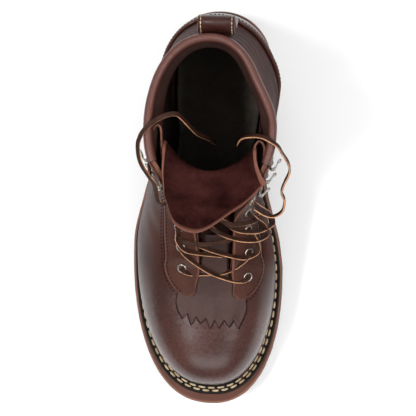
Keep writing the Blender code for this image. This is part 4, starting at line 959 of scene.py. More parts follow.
def frames(path, up):
    tangent = unit(np.gradient(path, axis=0))
    up = unit(up - (up * tangent).sum(-1, keepdims=True) * tangent)
    return tangent, up, np.cross(tangent, up)


def ribbon(path, up, roll, width=LACE_WIDTH, thickness=LACE_THICKNESS):
    """Flat strip with softly broken corners; roll turns it about its own line, in degrees."""
    tangent, up, side = frames(path, up)
    angle = np.radians(np.broadcast_to(roll, len(path)))[:, None]
    across = side * np.cos(angle) + up * np.sin(angle)
    above = up * np.cos(angle) - side * np.sin(angle)
    w, h, c = width / 2, thickness / 2, 0.0003
    outline = [(-w, -h + c), (-w, h - c), (-w + c, h), (w - c, h), (w, h - c), (w, -h + c), (w - c, -h),
               (-w + c, -h)]
    sections = np.stack([path + across * u + above * v for u, v in outline], axis=1)
    vertices, faces = loft(sections)
    return vertices, faces, [1, 0, 0, 0, 1, 0, 0, 0] * (len(path) - 1) + [1, 1]


def merge(parts):
    vertices, faces, indices, base = [], [], [], 0
    for v, f, m in parts:
        vertices.append(np.asarray(v))
        faces += [tuple(i + base for i in face) for face in f]
        indices += list(m)
        base += len(v)
    return np.concatenate(vertices), faces, indices


def stitches(path, up, pitch, dash, width, height, phase=0.0):
    """Row of thread dashes along a path that lies on a surface."""
    length = arc_length(path)
    count = int((length[-1] - dash) / pitch)
    parts = []
    spots = np.array([-0.5, -0.40, -0.2, 0.0, 0.2, 0.40, 0.5])
    swell = np.array([0.30, 0.80, 1.0, 1.0, 1.0, 0.80, 0.30])
    sink = np.array([-0.6, 0.05, 0.55, 0.75, 0.55, 0.05, -0.6])
    for k in range(count):
        middle = dash / 2 + (k + phase) * pitch
        if middle + dash / 2 > length[-1]:
            break
        at = middle + spots * dash
        p = at_distances(at, length, path)
        n = unit(at_distances(at, length, up))
        tangent, n, side = frames(p, n)
        ring = np.linspace(0, 2 * math.pi, 6, endpoint=False)
        section = [
            c + s * (np.cos(ring) * width / 2 * f)[:,
                                                   None] + m * (np.sin(ring) * height / 2 * f + height * z
                                                                / 2)[:, None]
            for c, s, m, f, z in zip(p, side, n, swell, sink)
        ]
        v, f = loft(section)
        parts.append((v, f, [0] * len(f)))
    return merge(parts)


def rounded_sheet(outer_grid, inner_grid_points, edge):
    """Closed sheet whose border is rounded off: its outermost rows and columns squeeze towards the middle.
    """
    middle = (outer_grid + inner_grid_points) / 2
    half = (outer_grid - inner_grid_points) / 2
    rows, columns = outer_grid.shape[:2]
    r = np.minimum(np.arange(rows), np.arange(rows)[::-1])[:, None]
    c = np.minimum(np.arange(columns), np.arange(columns)[::-1])[None, :]
    near = np.minimum(r, c)
    squeeze = np.where(near == 0, edge, 1.0)[..., None]
    return middle + half * squeeze, middle - half * squeeze


def soft_spacing(count, border):
    """Shares from 0 to 1 with one short step of size border at both ends."""
    inner = np.linspace(border, 1 - border, count - 2)
    return np.concatenate([[0.0], inner, [1.0]])


# Camera of the photo

SENSOR = 36.0  # mm
PICTURE_PIXELS = 416
FOCAL_PIXELS = 1378
camera_data = bpy.data.cameras.new("photo_camera")
camera_data.sensor_width = SENSOR
camera_data.lens = SENSOR * FOCAL_PIXELS / PICTURE_PIXELS
camera_data.clip_start = 0.01
camera = bpy.data.objects.new("photo_camera", camera_data)
camera.location = (0.0504, ORIGIN_ALONG - 0.1507, 1.1)
camera.rotation_euler = (0.0, math.radians(3.03), math.radians(1.66))
bpy.context.scene.collection.objects.link(camera)
bpy.context.scene.camera = camera
bpy.context.scene.view_settings.view_transform = "Standard"


# Free ends of the lace

LACE_ROLL = {
    "lateral": [60, 66, 72, 76, 74, 70, 66, 64, 70, 76],
    "medial": [50, 60, 70, 74, 70, 66, 72, 70, 66, 60],
}


def build_lace_end(word):
    points = np.array(LACE_ENDS[word])
    path = even(spline(world(points[:, 0], points[:, 1], points[:, 2]), 12), 0.0012)
    tangent = unit(np.gradient(path, axis=0))
    up = np.tile([0.0, 0.0, 1.0], (len(path), 1)) + 0.02
    for k in range(1, len(path)):
        last = up[k - 1] - (up[k - 1] @ tangent[k]) * tangent[k]
        up[k] = last / np.linalg.norm(last)
    table = LACE_ROLL[word]
    roll = np.interp(np.linspace(0, 1, len(path)), np.linspace(0, 1, len(table)), table)
    v, f, m = ribbon(path, up, roll)
    obj = piece("lace_tail_" + word, v, f, [LACE_FACE, LACE_EDGE], m, ["lace_end_" + word],
                30)
    return obj


for word in SIDES.values():
    build_lace_end(word)


# Upper

THROAT_FINE, COLLAR_FINE, ROWS_FINE = 66, 54, 110

# Creases: points on the leather (x, along, height), depth and half width, all in metres
CREASES = [
    ([(0.010, 0.026, 0.160), (0.020, 0.031, 0.156), (0.028, 0.040, 0.150)], 0.0016, 0.0028),
    ([(0.013, 0.022, 0.148), (0.024, 0.028, 0.144), (0.033, 0.039, 0.137)], 0.0018, 0.0030),
    ([(0.016, 0.018, 0.134), (0.028, 0.026, 0.130), (0.038, 0.040, 0.124)], 0.0014, 0.0032),
    ([(-0.014, 0.030, 0.150), (-0.024, 0.037, 0.146), (-0.031, 0.048, 0.140)], 0.0006, 0.0026),
    ([(-0.043, 0.150, 0.070), (-0.040, 0.165, 0.078), (-0.034, 0.178, 0.082)], 0.0006, 0.0050),
    ([(0.046, 0.146, 0.066), (0.046, 0.165, 0.070), (0.042, 0.182, 0.074)], 0.0007, 0.0050),
    ([(-0.038, 0.118, 0.110), (-0.040, 0.135, 0.100), (-0.038, 0.150, 0.092)], 0.0009, 0.0060),
    ([(0.044, 0.112, 0.104), (0.044, 0.130, 0.095), (0.042, 0.146, 0.088)], 0.0009, 0.0060),
    ([(0.010, 0.241, 0.060), (0.016, 0.243, 0.059), (0.022, 0.247, 0.057)], 0.0003, 0.0016),
    ([(-0.044, 0.060, 0.108), (-0.046, 0.085, 0.104), (-0.044, 0.105, 0.098)], 0.0006, 0.0070),
    ([(0.044, 0.060, 0.112), (0.046, 0.085, 0.106), (0.046, 0.105, 0.100)], 0.0006, 0.0070),
]


def crease_depth(points):
    """Inward shift of the leather at each point: soft troughs with a low ridge beside them."""
    shift = np.zeros(points.shape[:-1])
    for line, depth, width in CREASES:
        q = np.array(line)
        path = even(spline(world(q[:, 0], q[:, 1], q[:, 2]), 6), 0.002)
        distance = np.full(points.shape[:-1], 1.0)
        nearest = np.zeros(points.shape[:-1])
        for k, p in enumerate(path):
            d = np.linalg.norm(points - p, axis=-1)
            closer = d < distance
            distance = np.where(closer, d, distance)
            nearest = np.where(closer, k / (len(path) - 1), nearest)
        fade = np.sin(math.pi * np.clip(nearest * 0.9 + 0.05, 0, 1)) ** 0.7
        r = distance / width
        shift += fade * depth * (np.exp(-r**2) - 0.35 * np.exp(-((r - 1.9) ** 2) * 1.5))
    return shift


outer = upper_grid(THROAT_FINE, COLLAR_FINE, ROWS_FINE)
out_normals = normals(outer)
rim_distance = np.linalg.norm(outer - outer[-1][None], axis=-1)
shift = crease_depth(outer) * smoothstep(0.0, 0.004, rim_distance)
skin = outer - out_normals * shift[..., None]
inner = outer - out_normals * WALL
inner[0, :, 2] = feather(ORIGIN_ALONG - inner[0, :, 1]) + SEAT_GAP
skin[0, :, 2] = feather(ORIGIN_ALONG - skin[0, :, 1]) + SEAT_GAP
first, last = THROAT_FINE, THROAT_FINE + 2 * COLLAR_FINE
skin_columns = outer.shape[1]
around = np.arange(skin_columns)
is_collar = (around >= first - 4) & (around <= last + 4)

# Padded band inside the collar: it stands out over the lining below it
band = 0.017
band_puff = 0.0064
step = smoothstep(band - 0.0006, band + 0.0006, rim_distance)
window = smoothstep(first + 2.0, first + 16.0, around) * (1 - smoothstep(last - 18.0, last - 4.0, around))
puff = band_puff * smoothstep(-0.004, band * 0.62, rim_distance) * (1 - step) * window[None, :]
inner = inner - out_normals * puff[..., None]
# Tone of the lining: the padded band is a lighter brown; below the band and inside the throat the lining is
# darkened as painted shade, with a painted shade band about 4 mm under the rim.
inner_tone = np.where(is_collar[None, :], 1 - 1.7 * smoothstep(band - 0.001, band + 0.0006, rim_distance),
                      -0.7)
inner_tone = np.clip(inner_tone, -1, 1)
inner_tone = inner_tone - 0.8 * np.exp(-(((rim_distance - 0.004) / 0.004) ** 2))

# Tone of the upper: painted shade along its foot where it meets the welt and in the creases, lighter over
# the toe above the welt.
height_over_welt = outer[..., 2] - feather(ORIGIN_ALONG - outer[..., 1])
tone = -0.55 * np.exp(-((height_over_welt / 0.0035) ** 2)) - 0.25 * np.exp(-((height_over_welt
                                                                              / 0.012) ** 2))
tone = tone + 0.20 * smoothstep(0.02, 0.05, height_over_welt) * smoothstep(0.20, 0.27,
                                                                           (ORIGIN_ALONG - outer[..., 1]))
tone = tone - np.clip(shift / 0.0012, 0, 1) * 0.45

gloss = 0.02 + 0.98 * smoothstep(0.185, 0.245, ORIGIN_ALONG - outer[..., 1])
gloss = gloss + 0.25 * smoothstep(0.10, 0.16, ORIGIN_ALONG - outer[..., 1]) * (outer[..., 0] < 0)

vertices, faces = shell_of_rings(skin, inner)
ring_count = (ROWS_FINE - 1) * skin_columns
indices = [0] * ring_count + [1] * ring_count + [1] * skin_columns + [2] * skin_columns
piece("boot_upper", vertices, faces, [VAMP, LINING, RAW_EDGE], indices, ["upper"], 50,
              np.concatenate([tone.ravel(), inner_tone.ravel()]), np.concatenate([gloss.ravel(),
                                                                                  0 * gloss.ravel()]))


# Facings, with their stitches and the rows beside them


def facing_seat(distance):
    over = 1 - smoothstep(FACING_OVER_KILTIE - 0.008, FACING_OVER_KILTIE, distance)
    return FACING_SEAT + (KILTIE_THICKNESS + 0.0009) * over


def facing_line(side, offset, start=0.0, stop=1.0, count=160):
    """Line along the facing's far edge at an offset outside it (negative inside), round its lower end."""
    total = edge_frames(side, [0.0])[3]
    top = total - FACING_TOP
    span = top - FACING_START
    distances = FACING_START - min(offset, 0.0) * 0.8 + span * np.linspace(start, stop,
                                                                           count) ** 1.6 + 0.0001
    base, _, away, _ = edge_frames(side, distances)
    p = walk(base, away, facing_outline(distances, total)[1] + offset)
    return p, normals(p), distances


def build_facing(side):
    word = SIDES[side]
    total = edge_frames(side, [0.0])[3]
    top = total - FACING_TOP
    t = soft_spacing(70, 0.006)
    distances = FACING_START + (top - FACING_START) * (0.004 + 0.996 * t) ** 1.35
    base, _, away, _ = edge_frames(side, distances)
    near, far = facing_outline(distances, total)
    lift = facing_seat(distances)
    shares = soft_spacing(22, 0.018)
    count = len(shares)
    reach = (near + (far - near) * shares[:, None]).ravel()
    p = walk(np.tile(base, (count, 1)), np.tile(away, (count, 1)), reach)
    n = normals(p)
    thick = np.tile(lift, count)[:, None]
    lower = (p + n * thick).reshape(count, -1, 3)
    upper_face = (p + n * (thick + OVERLAY)).reshape(count, -1, 3)
    a, b = rounded_sheet(upper_face, lower, 0.45)
    tone_grid = np.zeros(a.shape[:2])
    edge_share = np.minimum(np.arange(len(shares)), np.arange(len(shares))[::-1])[:, None]
    tone_grid = tone_grid + np.where(edge_share <= 1, 0.75, 0.0)
    tone_grid[:, :2] += 0.5
    tone_grid = np.clip(tone_grid, -1, 1)
    v, f = sheet_solid(a, b)
    return piece("boot_facing_" + word, v, f, [OVERLAY_LEATHER], None, ["facing_" + word],
                 60, np.concatenate([tone_grid.ravel(), tone_grid.ravel() * 0.5]))


THREAD_ROWS = [  # offset outside the facing's edge, pitch, dash, width (m), raised above the upper
    (-0.0022, 0.0030, 0.0020, 0.00070, True),
    (0.0022, 0.0029, 0.0016, 0.00075, False),
    (0.0048, 0.0029, 0.0016, 0.00075, False),
]

for side in SIDES:
    build_facing(side)
    rows = []
    for offset, pitch, dash, width, raised in THREAD_ROWS:
        line, n, distances = facing_line(side, offset, 0.0 if offset > 0 else 0.03)
        lift = facing_seat(distances) + OVERLAY + 0.0001 if raised else np.full(len(distances), 0.0001)
        path = line + n * lift[:, None]
        rows.append(stitches(path, n, pitch, dash, width, 0.0005, 0.3 if offset > 0.004 else 0.0))
    v, f, m = merge(rows)
    piece("facing_thread_" + SIDES[side], v, f, [BROWN_THREAD_AND_SHADOW], m, (), 60)


# Kiltie: the teeth are cut in its front edge, a little deeper than in the solid

TOOTH_DEEPENED = 1.25


def build_kiltie(name, grow, low, high, material, nodes):
    """Fringed sheet; grow widens its outline all round, low and high are its faces above the upper."""
    teeth = KILTIE_TEETH
    columns, count = teeth * 8 + 1, 44
    share = np.linspace(-1, 1, columns)
    tooth = 1 - np.abs(((share + 1) / 2 * teeth) % 1 * 2 - 1)
    tooth = tooth * (0.95 + 0.25 * np.sin(share * 9.0 + 0.6))
    rows = []
    steps = soft_spacing(count, 0.008)
    for u in steps:
        a = KILTIE_ROWS[0][0] + (KILTIE_ROWS[-1][0] - KILTIE_ROWS[0][0]) * u
        half = float(smooth_table(KILTIE_ROWS, 1, a)) * BALL_WIDTH + grow
        along = a * SOLE_LENGTH + grow + (KILTIE_BOW * (1 - share**2) + KILTIE_SLANT * share) * u
        along = along + TOOTH_DEEPENED * tooth * KILTIE_TOOTH * smoothstep(0.78, 1.0, u)
        middle = smooth_table(THROAT[::-1], 2, a) * SHAFT_WIDTH * (1 - 0.9 * u)
        rows.append(world(middle + half * share, along, 0.6 * COLLAR_HEIGHT))
    seeds = np.array(rows)
    s = ORIGIN_ALONG - seeds[..., 1]
    seeds[..., 2] = feather(s) + 0.5 * smooth_table(RIDGE, 1, s / SOLE_LENGTH) * COLLAR_HEIGHT
    p = cast(seeds, np.array([0.0, 0.0, 1.0]) + 0 * seeds, low=-0.01, high=0.09)
    n = normals(p)
    ripple = 0.0010 * smoothstep(0.70, 1.0, steps)[:, None] * (0.5 + 0.5 * np.sin(share * 12.0 + 1.0))[None,
                                                                                                       :]
    rise = ripple * (1.0 if nodes else 0.5)
    a, b = rounded_sheet(p + n * (high + rise)[..., None], p + n * (low + rise)[..., None], 0.55)
    # Tone: lighter along the teeth and the sides; the rear, under the facings' ends, is darkened as painted
    # shade.
    tone_grid = np.zeros(a.shape[:2])
    tone_grid[-2:] = 0.35
    tone_grid[:, :2] = 0.35
    tone_grid[:, -2:] = 0.35
    tone_grid = tone_grid * smoothstep(0.3, 0.6, steps)[:,
                                                        None] - 0.75 * (1 - smoothstep(0.05, 0.50,
                                                                                       steps))[:, None]
    v, f = sheet_solid(a, b)
    return piece(name, v, f, [material], None, nodes, 60,
                 np.concatenate([tone_grid.ravel(), tone_grid.ravel()]))


build_kiltie("boot_kiltie", 0.0, 0.0005, KILTIE_THICKNESS, KILTIE_LEATHER, ["kiltie"])
# Thin dark sheet a little wider than the kiltie, under it: painted shadow along its edge and teeth.
build_kiltie("kiltie_backing", 0.0013, 0.0001, 0.0006, BROWN_THREAD_AND_SHADOW, [])


# Counter


def build_counter():
    reach = 0.325
    columns, rows = 121, 26
    a = np.linspace(-1, 1, columns)
    along = SOLE_LENGTH * (0.03 + (reach - 0.03) * np.abs(a) ** 1.35)
    x = np.sign(a) * 0.038 * np.abs(a) ** 0.65
    height = COUNTER_HEIGHT * (1 - 0.72 * smoothstep(0.25, 1.0, np.abs(a)))
    seeds, directions = [], []
    for t in soft_spacing(rows, 0.02):
        z = feather(along) + SEAT_GAP + height * t
        seeds.append(world(x * 0.3, 0.30 * along + 0.070, z))
        directions.append(world(x, along, z) - seeds[-1])
    p = cast(np.array(seeds), np.array(directions), low=0.0, high=0.09)
    n = normals(p)
    top, under = rounded_sheet(p + n * (OVERLAY_GAP + OVERLAY), p + n * 0.0002, 0.4)
    for grid in (top, under):
        grid[0, :, 2] = feather(ORIGIN_ALONG - grid[0, :, 1]) + SEAT_GAP
    # Tone: lighter along the top edge and the ends, painted shade along the foot by the welt.
    tone_grid = np.zeros(top.shape[:2])
    tone_grid[-2:] = 0.45
    tone_grid[:, :2] = 0.3
    tone_grid[:, -2:] = 0.3
    tone_grid[:3] = -0.4
    v, f = sheet_solid(top, under)
    shine = 0.2 + 0.5 * smoothstep(-0.3, 0.6, -np.abs(a)[None, :] + 0.6) + 0 * tone_grid
    piece("boot_counter", v, f, [VAMP], None, ["counter"], 60,
          np.concatenate([tone_grid.ravel(), tone_grid.ravel()]), np.concatenate([shine.ravel(),
                                                                                  shine.ravel()]))
    rows_of_thread = []
    for inset in (0.0022, 0.0046):
        line = top[-2] - unit(top[-2] - top[-6]) * inset
        surface = settle(line)
        m = normals(surface)
        path = surface + m * (OVERLAY_GAP + OVERLAY)
        rows_of_thread.append(stitches(path, m, 0.0030, 0.0019, 0.0007, 0.0005, 0.2))
    v, f, m = merge(rows_of_thread)
    piece("counter_thread", v, f, [BROWN_THREAD_AND_SHADOW], m, (), 60)


build_counter()


# Rolled collar


def build_collar():
    middle = (outer[-1] - out_normals[-1] * WALL / 2)[first : last + 1]
    out = unit(out_normals[-1, first : last + 1] * np.array([1, 1, 0]))
    count = 24
    a = np.linspace(0, 2 * math.pi, count, endpoint=False)
    half_w, half_h = COLLAR_ROLL_WIDTH / 2, COLLAR_ROLL_HEIGHT / 2
    sections = []
    length = arc_length(middle)
    for k, (m, o) in enumerate(zip(middle, out)):
        puff = 1 + 0.03 * math.sin(length[k] / 0.011) + 0.02 * math.sin(length[k] / 0.0043)
        flat = np.sign(np.sin(a)) * np.abs(np.sin(a)) ** 0.85
        section = m + o * (half_w * puff * np.cos(a))[:, None]
        section[:, 2] = m[2] + 0.0001 + half_h + half_h * flat * 0.999
        sections.append(section)
    v, f = loft(sections)
    # Painted highlight along the top of the roll and painted shade on its underside.
    tone_ring = 0.15 + 0.35 * np.sin(a) - 0.55 * (np.sin(a) < -0.75)
    piece("boot_collar", v, f, [COLLAR_LEATHER], None, ["collar"], 60,
          np.tile(tone_ring, len(sections)))
    path = settle(outer[-5, first + 1 : last])
    n = normals(path)
    v, f, m = stitches(path + n * 0.0001, n, 0.0032, 0.0021, 0.0007, 0.0005)
    piece("collar_thread", v, f, [BROWN_THREAD_AND_SHADOW], m, (), 60)


build_collar()


# Pull loop


def fine_strap(path, width, thickness, across_axis=(1.0, 0.0, 0.0)):
    """Strap swept along a path, rounded at its long edges."""
    tangent = unit(np.gradient(path, axis=0))
    axis = np.array(across_axis)
    across = unit(axis - (tangent @ axis)[:, None] * tangent)
    up = np.cross(tangent, across)
    w, h = width / 2, thickness / 2
    outline = [(-w, -h * 0.5), (-w, h * 0.5), (-w + 0.0004, h), (-w * 0.6, h), (-w * 0.2, h), (w * 0.2, h),
               (w * 0.6, h), (w - 0.0004, h), (w, h * 0.5), (w, -h * 0.5), (w - 0.0004, -h), (0.0, -h),
               (-w + 0.0004, -h)]
    sections = np.stack([path + across * u + up * v for u, v in outline], axis=1)
    return sections, across, up


def build_pull_loop():
    half = LOOP_THICKNESS / 2
    rear = back_line(np.array([shaft_top() - COLLAR_DIP]))[0, 1]
    top = COLLAR_HEIGHT - COLLAR_DIP
    arch = [(LOOP_SHIFT, rear + b, top - h) for b, h in PULL_LOOP]
    z = np.array([0.141, 0.132, 0.122, 0.112]) / 0.186 * COLLAR_HEIGHT
    seam = back_line(z)
    seam = seam + normals(seam) * (half + GAP + 0.0004) + np.array([LOOP_SHIFT, 0, 0])
    path = even(spline(np.vstack([arch, seam]), 12), 0.0012)
    sections, across, up = fine_strap(path, LOOP_WIDTH, LOOP_THICKNESS)
    v, f = loft(sections)
    outline = np.array([0.5, 0.6, 0.45, 0, 0, 0, 0, 0.45, 0.6, 0.5, 0, -0.2, 0])
    piece("boot_pull_loop", v, f, [COLLAR_LEATHER], None, ["pull_loop"], 60,
          np.tile(outline, len(path)))
    centre = path.mean(axis=0)
    outward = np.sign(((path - centre) * up).sum(-1).mean())
    rows = []
    for edge in (-1, 1):
        line = path + across * edge * (LOOP_WIDTH / 2 - 0.0020) + up * outward * (half + 0.0001)
        rows.append(stitches(line, up * outward, 0.0031, 0.0023, 0.0006, 0.0004))
    v, f, m = merge(rows)
    piece("pull_loop_thread", v, f, [CREAM_THREAD], m, (), 60)


build_pull_loop()


# Tongue: grain side out, flesh side up where it is folded over


def build_tongue():
    per_row, columns = 7, 49
    grid = tongue_grid(columns, per_row)
    n = grid_normals(grid)
    for _ in range(3):
        n[1:-1, 1:-1] = unit(n[1:-1, 1:-1] + n[:-2, 1:-1] + n[2:, 1:-1] + n[1:-1, :-2] + n[1:-1, 2:])
    rows = grid.shape[0]
    r = np.arange(rows) / (rows - 1)
    u = np.linspace(-1, 1, columns)
    fold = smoothstep(0.62, 0.80, r)[:, None]
    sway = 0.0006 * fold * np.sin(u * 5.0 + r[:, None] * 9.0) + 0.0004 * fold * np.sin(u * 11.0 - r[:, None]
                                                                                       * 6.0)
    grid = grid + n * sway[..., None]
    half = TONGUE_THICKNESS / 2
    top, under = rounded_sheet(grid + n * half, grid - n * half, 0.6)
    v, f = sheet_solid(top, under)
    quads = (rows - 1) * (columns - 1)
    indices = [1, 0] * quads + [2] * (len(f) - 2 * quads)
    edge = np.minimum(np.minimum(np.arange(rows), np.arange(rows)[::-1])[:, None],
                      np.minimum(np.arange(columns), np.arange(columns)[::-1])[None, :])
    tone_grid = np.where(edge == 0, 1.0, np.where(edge == 1, 0.6, 0.0))
    piece("boot_tongue", v, f, [TONGUE_GRAIN, SUEDE, RAW_EDGE], indices, ["tongue"], 60,
          np.concatenate([tone_grid.ravel(), tone_grid.ravel()]))


build_tongue()


# Gussets: folded strips between tongue and facings, seen at their cut top edges

GUSSETS = {  # x, along and height of the top edge of each fold, in metres
    "lateral": [(-0.0400, 0.1340, 0.1600), (-0.0405, 0.1240, 0.1660), (-0.0395, 0.1120, 0.1720),
                (-0.0375, 0.1015, 0.1745), (-0.0350, 0.0975, 0.1750), (-0.0322, 0.0990, 0.1745),
                (-0.0315, 0.1080, 0.1730), (-0.0312, 0.1180, 0.1700)],
    "medial": [(0.0362, 0.1260, 0.1600), (0.0374, 0.1190, 0.1650), (0.0382, 0.1120, 0.1690),
               (0.0372, 0.1080, 0.1710), (0.0345, 0.1062, 0.1715), (0.0322, 0.1085, 0.1710),
               (0.0316, 0.1115, 0.1700), (0.0322, 0.1160, 0.1690)],
}


def build_gusset(word):
    q = np.array(GUSSETS[word])
    top = even(spline(world(q[:, 0], q[:, 1], q[:, 2]), 10), 0.0012)
    tangent = unit(np.gradient(top, axis=0) * np.array([1, 1, 0]))
    side = np.cross(tangent, [0.0, 0.0, 1.0])
    t = np.linspace(0, 1, len(top))
    depth = 0.016 * np.sin(math.pi * (0.12 + 0.80 * t)) ** 0.5
    half = 0.0008
    sections = []
    for k in range(len(top)):
        down = np.array([0.0, 0.0, -depth[k]])
        sections.append([top[k] + side[k] * half * 0.6, top[k] - side[k] * half * 0.6,
                         top[k] - side[k] * half - np.array([0, 0, 0.0005]), top[k] - side[k] * half + down,
                         top[k] + side[k] * half + down, top[k] + side[k] * half - np.array([0, 0, 0.0005])])
    v, f = loft(np.array(sections))
    m = [1, 1, 0, 0, 0, 1] * (len(top) - 1) + [1, 1]
    piece("tongue_gusset_" + word, v, f, [TONGUE_GRAIN, RAW_EDGE], m, (), 40)


for word in SIDES.values():
    build_gusset(word)


# Eyelets and hooks


def lacing_points(side):
    distances = [FIRST_EYELET[side] + i * EYELET_PITCH for i in range(EYELET_COUNT)]
    distances += [distances[-1] + (i + 1) * HOOK_PITCH for i in range(HOOK_COUNT)]
    base, _, away, _ = edge_frames(side, distances)
    p = walk(base, away, EYELET_INSET)
    n = normals(p)
    away = unit(away - (away * n).sum(-1, keepdims=True) * n)
    return p, n, away, facing_seat(np.array(distances)) + OVERLAY


def build_eyelet(name, centre, normal, lift):
    seat = lift + 0.00005
    bead = []
    for t in np.linspace(0, math.pi, 9):
        mid, reach = (EYELET_FLANGE + EYELET_HOLE) / 2 - 0.0001, (EYELET_FLANGE - EYELET_HOLE) / 2 - 0.0001
        bead.append((mid + reach * math.cos(t), seat + 0.00080 * math.sin(t)))
    profile = [(EYELET_HOLE + 0.0004, -0.0035),
               (EYELET_HOLE + 0.0004, seat)] + bead + [(EYELET_HOLE, -0.0035)]
    count = 40
    rings = disc_rings(centre, normal, profile, count)
    f = tube_faces(len(profile), count)
    plug = [(0.0002, lift - 0.0006), (EYELET_HOLE + 0.0002, lift - 0.0004), (EYELET_HOLE + 0.0002, -0.0030),
            (0.0002, -0.0030)]
    piece("boot_" + name, rings.reshape(-1, 3), f, [NICKEL], None, [name], 60)
    plug_faces = ring_faces(len(plug), count) + [tuple(range(count)), tuple(range(3 * count, 4 * count))]
    piece("shade_" + name, disc_rings(centre, normal, plug, count).reshape(-1, 3), plug_faces, [LINING],
          None)


def build_hook(name, centre, normal, away, lift):
    along_edge = np.cross(normal, away)
    q = spline(np.array([centre + away * a + normal * (lift + 0.00005 + h) for a, h in HOOK_PATH]), 8)
    tangent = unit(np.gradient(q, axis=0))
    up = np.cross(tangent, along_edge)
    t = np.linspace(0, 1, len(q))
    width = HOOK_WIDTH * (1.0 - 0.30 * np.exp(-(((t - 0.42) / 0.16) ** 2)))
    width = width * np.sqrt(np.clip(1 - np.clip((0.07 - t) / 0.075, 0, 1) ** 2, 0.02, 1))
    width = width * np.sqrt(np.clip(1 - np.clip((t - 0.93) / 0.075, 0, 1) ** 2, 0.02, 1))
    h = 0.00045
    outline = [(-1, -0.4), (-1, 0.4), (-0.86, 1), (0, 1.1), (0.86, 1), (1, 0.4), (1, -0.4), (0.86, -1),
               (-0.86, -1)]
    sections = np.stack([q + along_edge * (a * width / 2)[:, None] + up * (b * h) for a, b in outline],
                        axis=1)
    v, f = loft(sections)
    rivet = disc_rings(centre, normal,
                       [(0.0019, lift + 0.0010), (0.0019, lift + 0.0014), (0.0012, lift + 0.0018),
                        (0.0003, lift + 0.0019)], 20)
    rf = ring_faces(4, 20) + [tuple(range(20))[::-1], tuple(60 + i for i in range(20))]
    v, f, m = merge([(v, f, [0] * len(f)), (rivet.reshape(-1, 3), rf, [0] * len(rf))])
    piece("boot_" + name, v, f, [NICKEL], m, [name], 50)


LACING = {side: lacing_points(side) for side in SIDES}
for side, word in SIDES.items():
    p, n, away, lift = LACING[side]
    for i in range(EYELET_COUNT):
        build_eyelet(f"eyelet_{word}_{i + 1}", p[i], n[i], lift[i])
    for i in range(EYELET_COUNT, EYELET_COUNT + HOOK_COUNT):
        build_hook(f"hook_{word}_{i + 1 - EYELET_COUNT}", p[i], n[i], away[i], lift[i])


# Lacing: each run leaves one eyelet and goes down another one, over the tongue

RUNS = [  # eyelets (side, number) or None, roll in degrees, then x, along and height over the last (m)
    ((-1, 0), (1, 1), 66, [(-0.0126, 0.2004, 0.0034), (-0.0056, 0.2006, 0.0016), (0.0017, 0.2006, 0.0004),
                           (0.0090, 0.1995, 0.0012), (0.0158, 0.1955, 0.0032), (0.0215, 0.1900, 0.0045)]),
    ((1, 0), (-1, 1), -64, [(0.0205, 0.2045, 0.0046), (0.0158, 0.2042, 0.0040), (0.0075, 0.2015, 0.0042),
                            (-0.0004, 0.1979, 0.0046), (-0.0111, 0.1909, 0.0042),
                            (-0.0170, 0.1855, 0.0048)]),
    ((-1, 2), None, 68, [(-0.0225, 0.1745, 0.0052), (-0.0178, 0.1812, 0.0048), (-0.0096, 0.1837, 0.0036),
                         (0.0031, 0.1857, 0.0018), (0.0103, 0.1876, -0.0006), (0.0150, 0.1890, -0.0030)]),
    ((1, 2), None, -66, [(0.0298, 0.1760, 0.0052), (0.0305, 0.1823, 0.0052), (0.0269, 0.1856, 0.0048),
                         (0.0219, 0.1870, 0.0044), (0.0153, 0.1855, 0.0042), (0.0078, 0.1832, 0.0042),
                         (0.0003, 0.1812, 0.0034), (-0.0085, 0.1796, 0.0004), (-0.0140, 0.1780, -0.0026)]),
    (None, None, 30, [(-0.0260, 0.1730, 0.0010), (-0.0200, 0.1748, 0.0044), (-0.0136, 0.1759, 0.0044),
                      (-0.0038, 0.1767, 0.0040), (0.0057, 0.1754, 0.0040), (0.0123, 0.1740, 0.0030),
                      (0.0180, 0.1720, -0.0010)]),
    ((1, 3), None, -68, [(0.0330, 0.1640, 0.0056), (0.0352, 0.1712, 0.0060), (0.0292, 0.1742, 0.0054),
                         (0.0206, 0.1734, 0.0048), (0.0122, 0.1709, 0.0034), (0.0038, 0.1688, 0.0000),
                         (-0.0020, 0.1670, -0.0030)]),
    ((1, 4), None, -62, [(0.0360, 0.1560, 0.0058), (0.0385, 0.1640, 0.0064), (0.0301, 0.1680, 0.0058),
                         (0.0204, 0.1664, 0.0052), (0.0149, 0.1644, 0.0030), (0.0090, 0.1620, -0.0010)]),
    (None, None, 55, [(0.0080, 0.1622, -0.0020), (0.0141, 0.1611, 0.0030), (0.0210, 0.1600, 0.0050),
                      (0.0265, 0.1590, 0.0056), (0.0300, 0.1560, 0.0060)]),
]


def hole_points(side, number, towards):
    """Points that lead a lace up out of an eyelet, in the direction it leaves."""
    p, n, away, lift = LACING[side]
    c, up = p[number], n[number]
    way = unit(towards - c)
    way = unit(way - (way @ up) * up)
    rise = lift[number]
    return [c + up * (rise - 0.0042) - way * 0.0003, c + up * (rise - 0.0012),
            c + up * (rise + 0.0012) + way * 0.0010, c + up * (rise + 0.0024) + way * 0.0034]


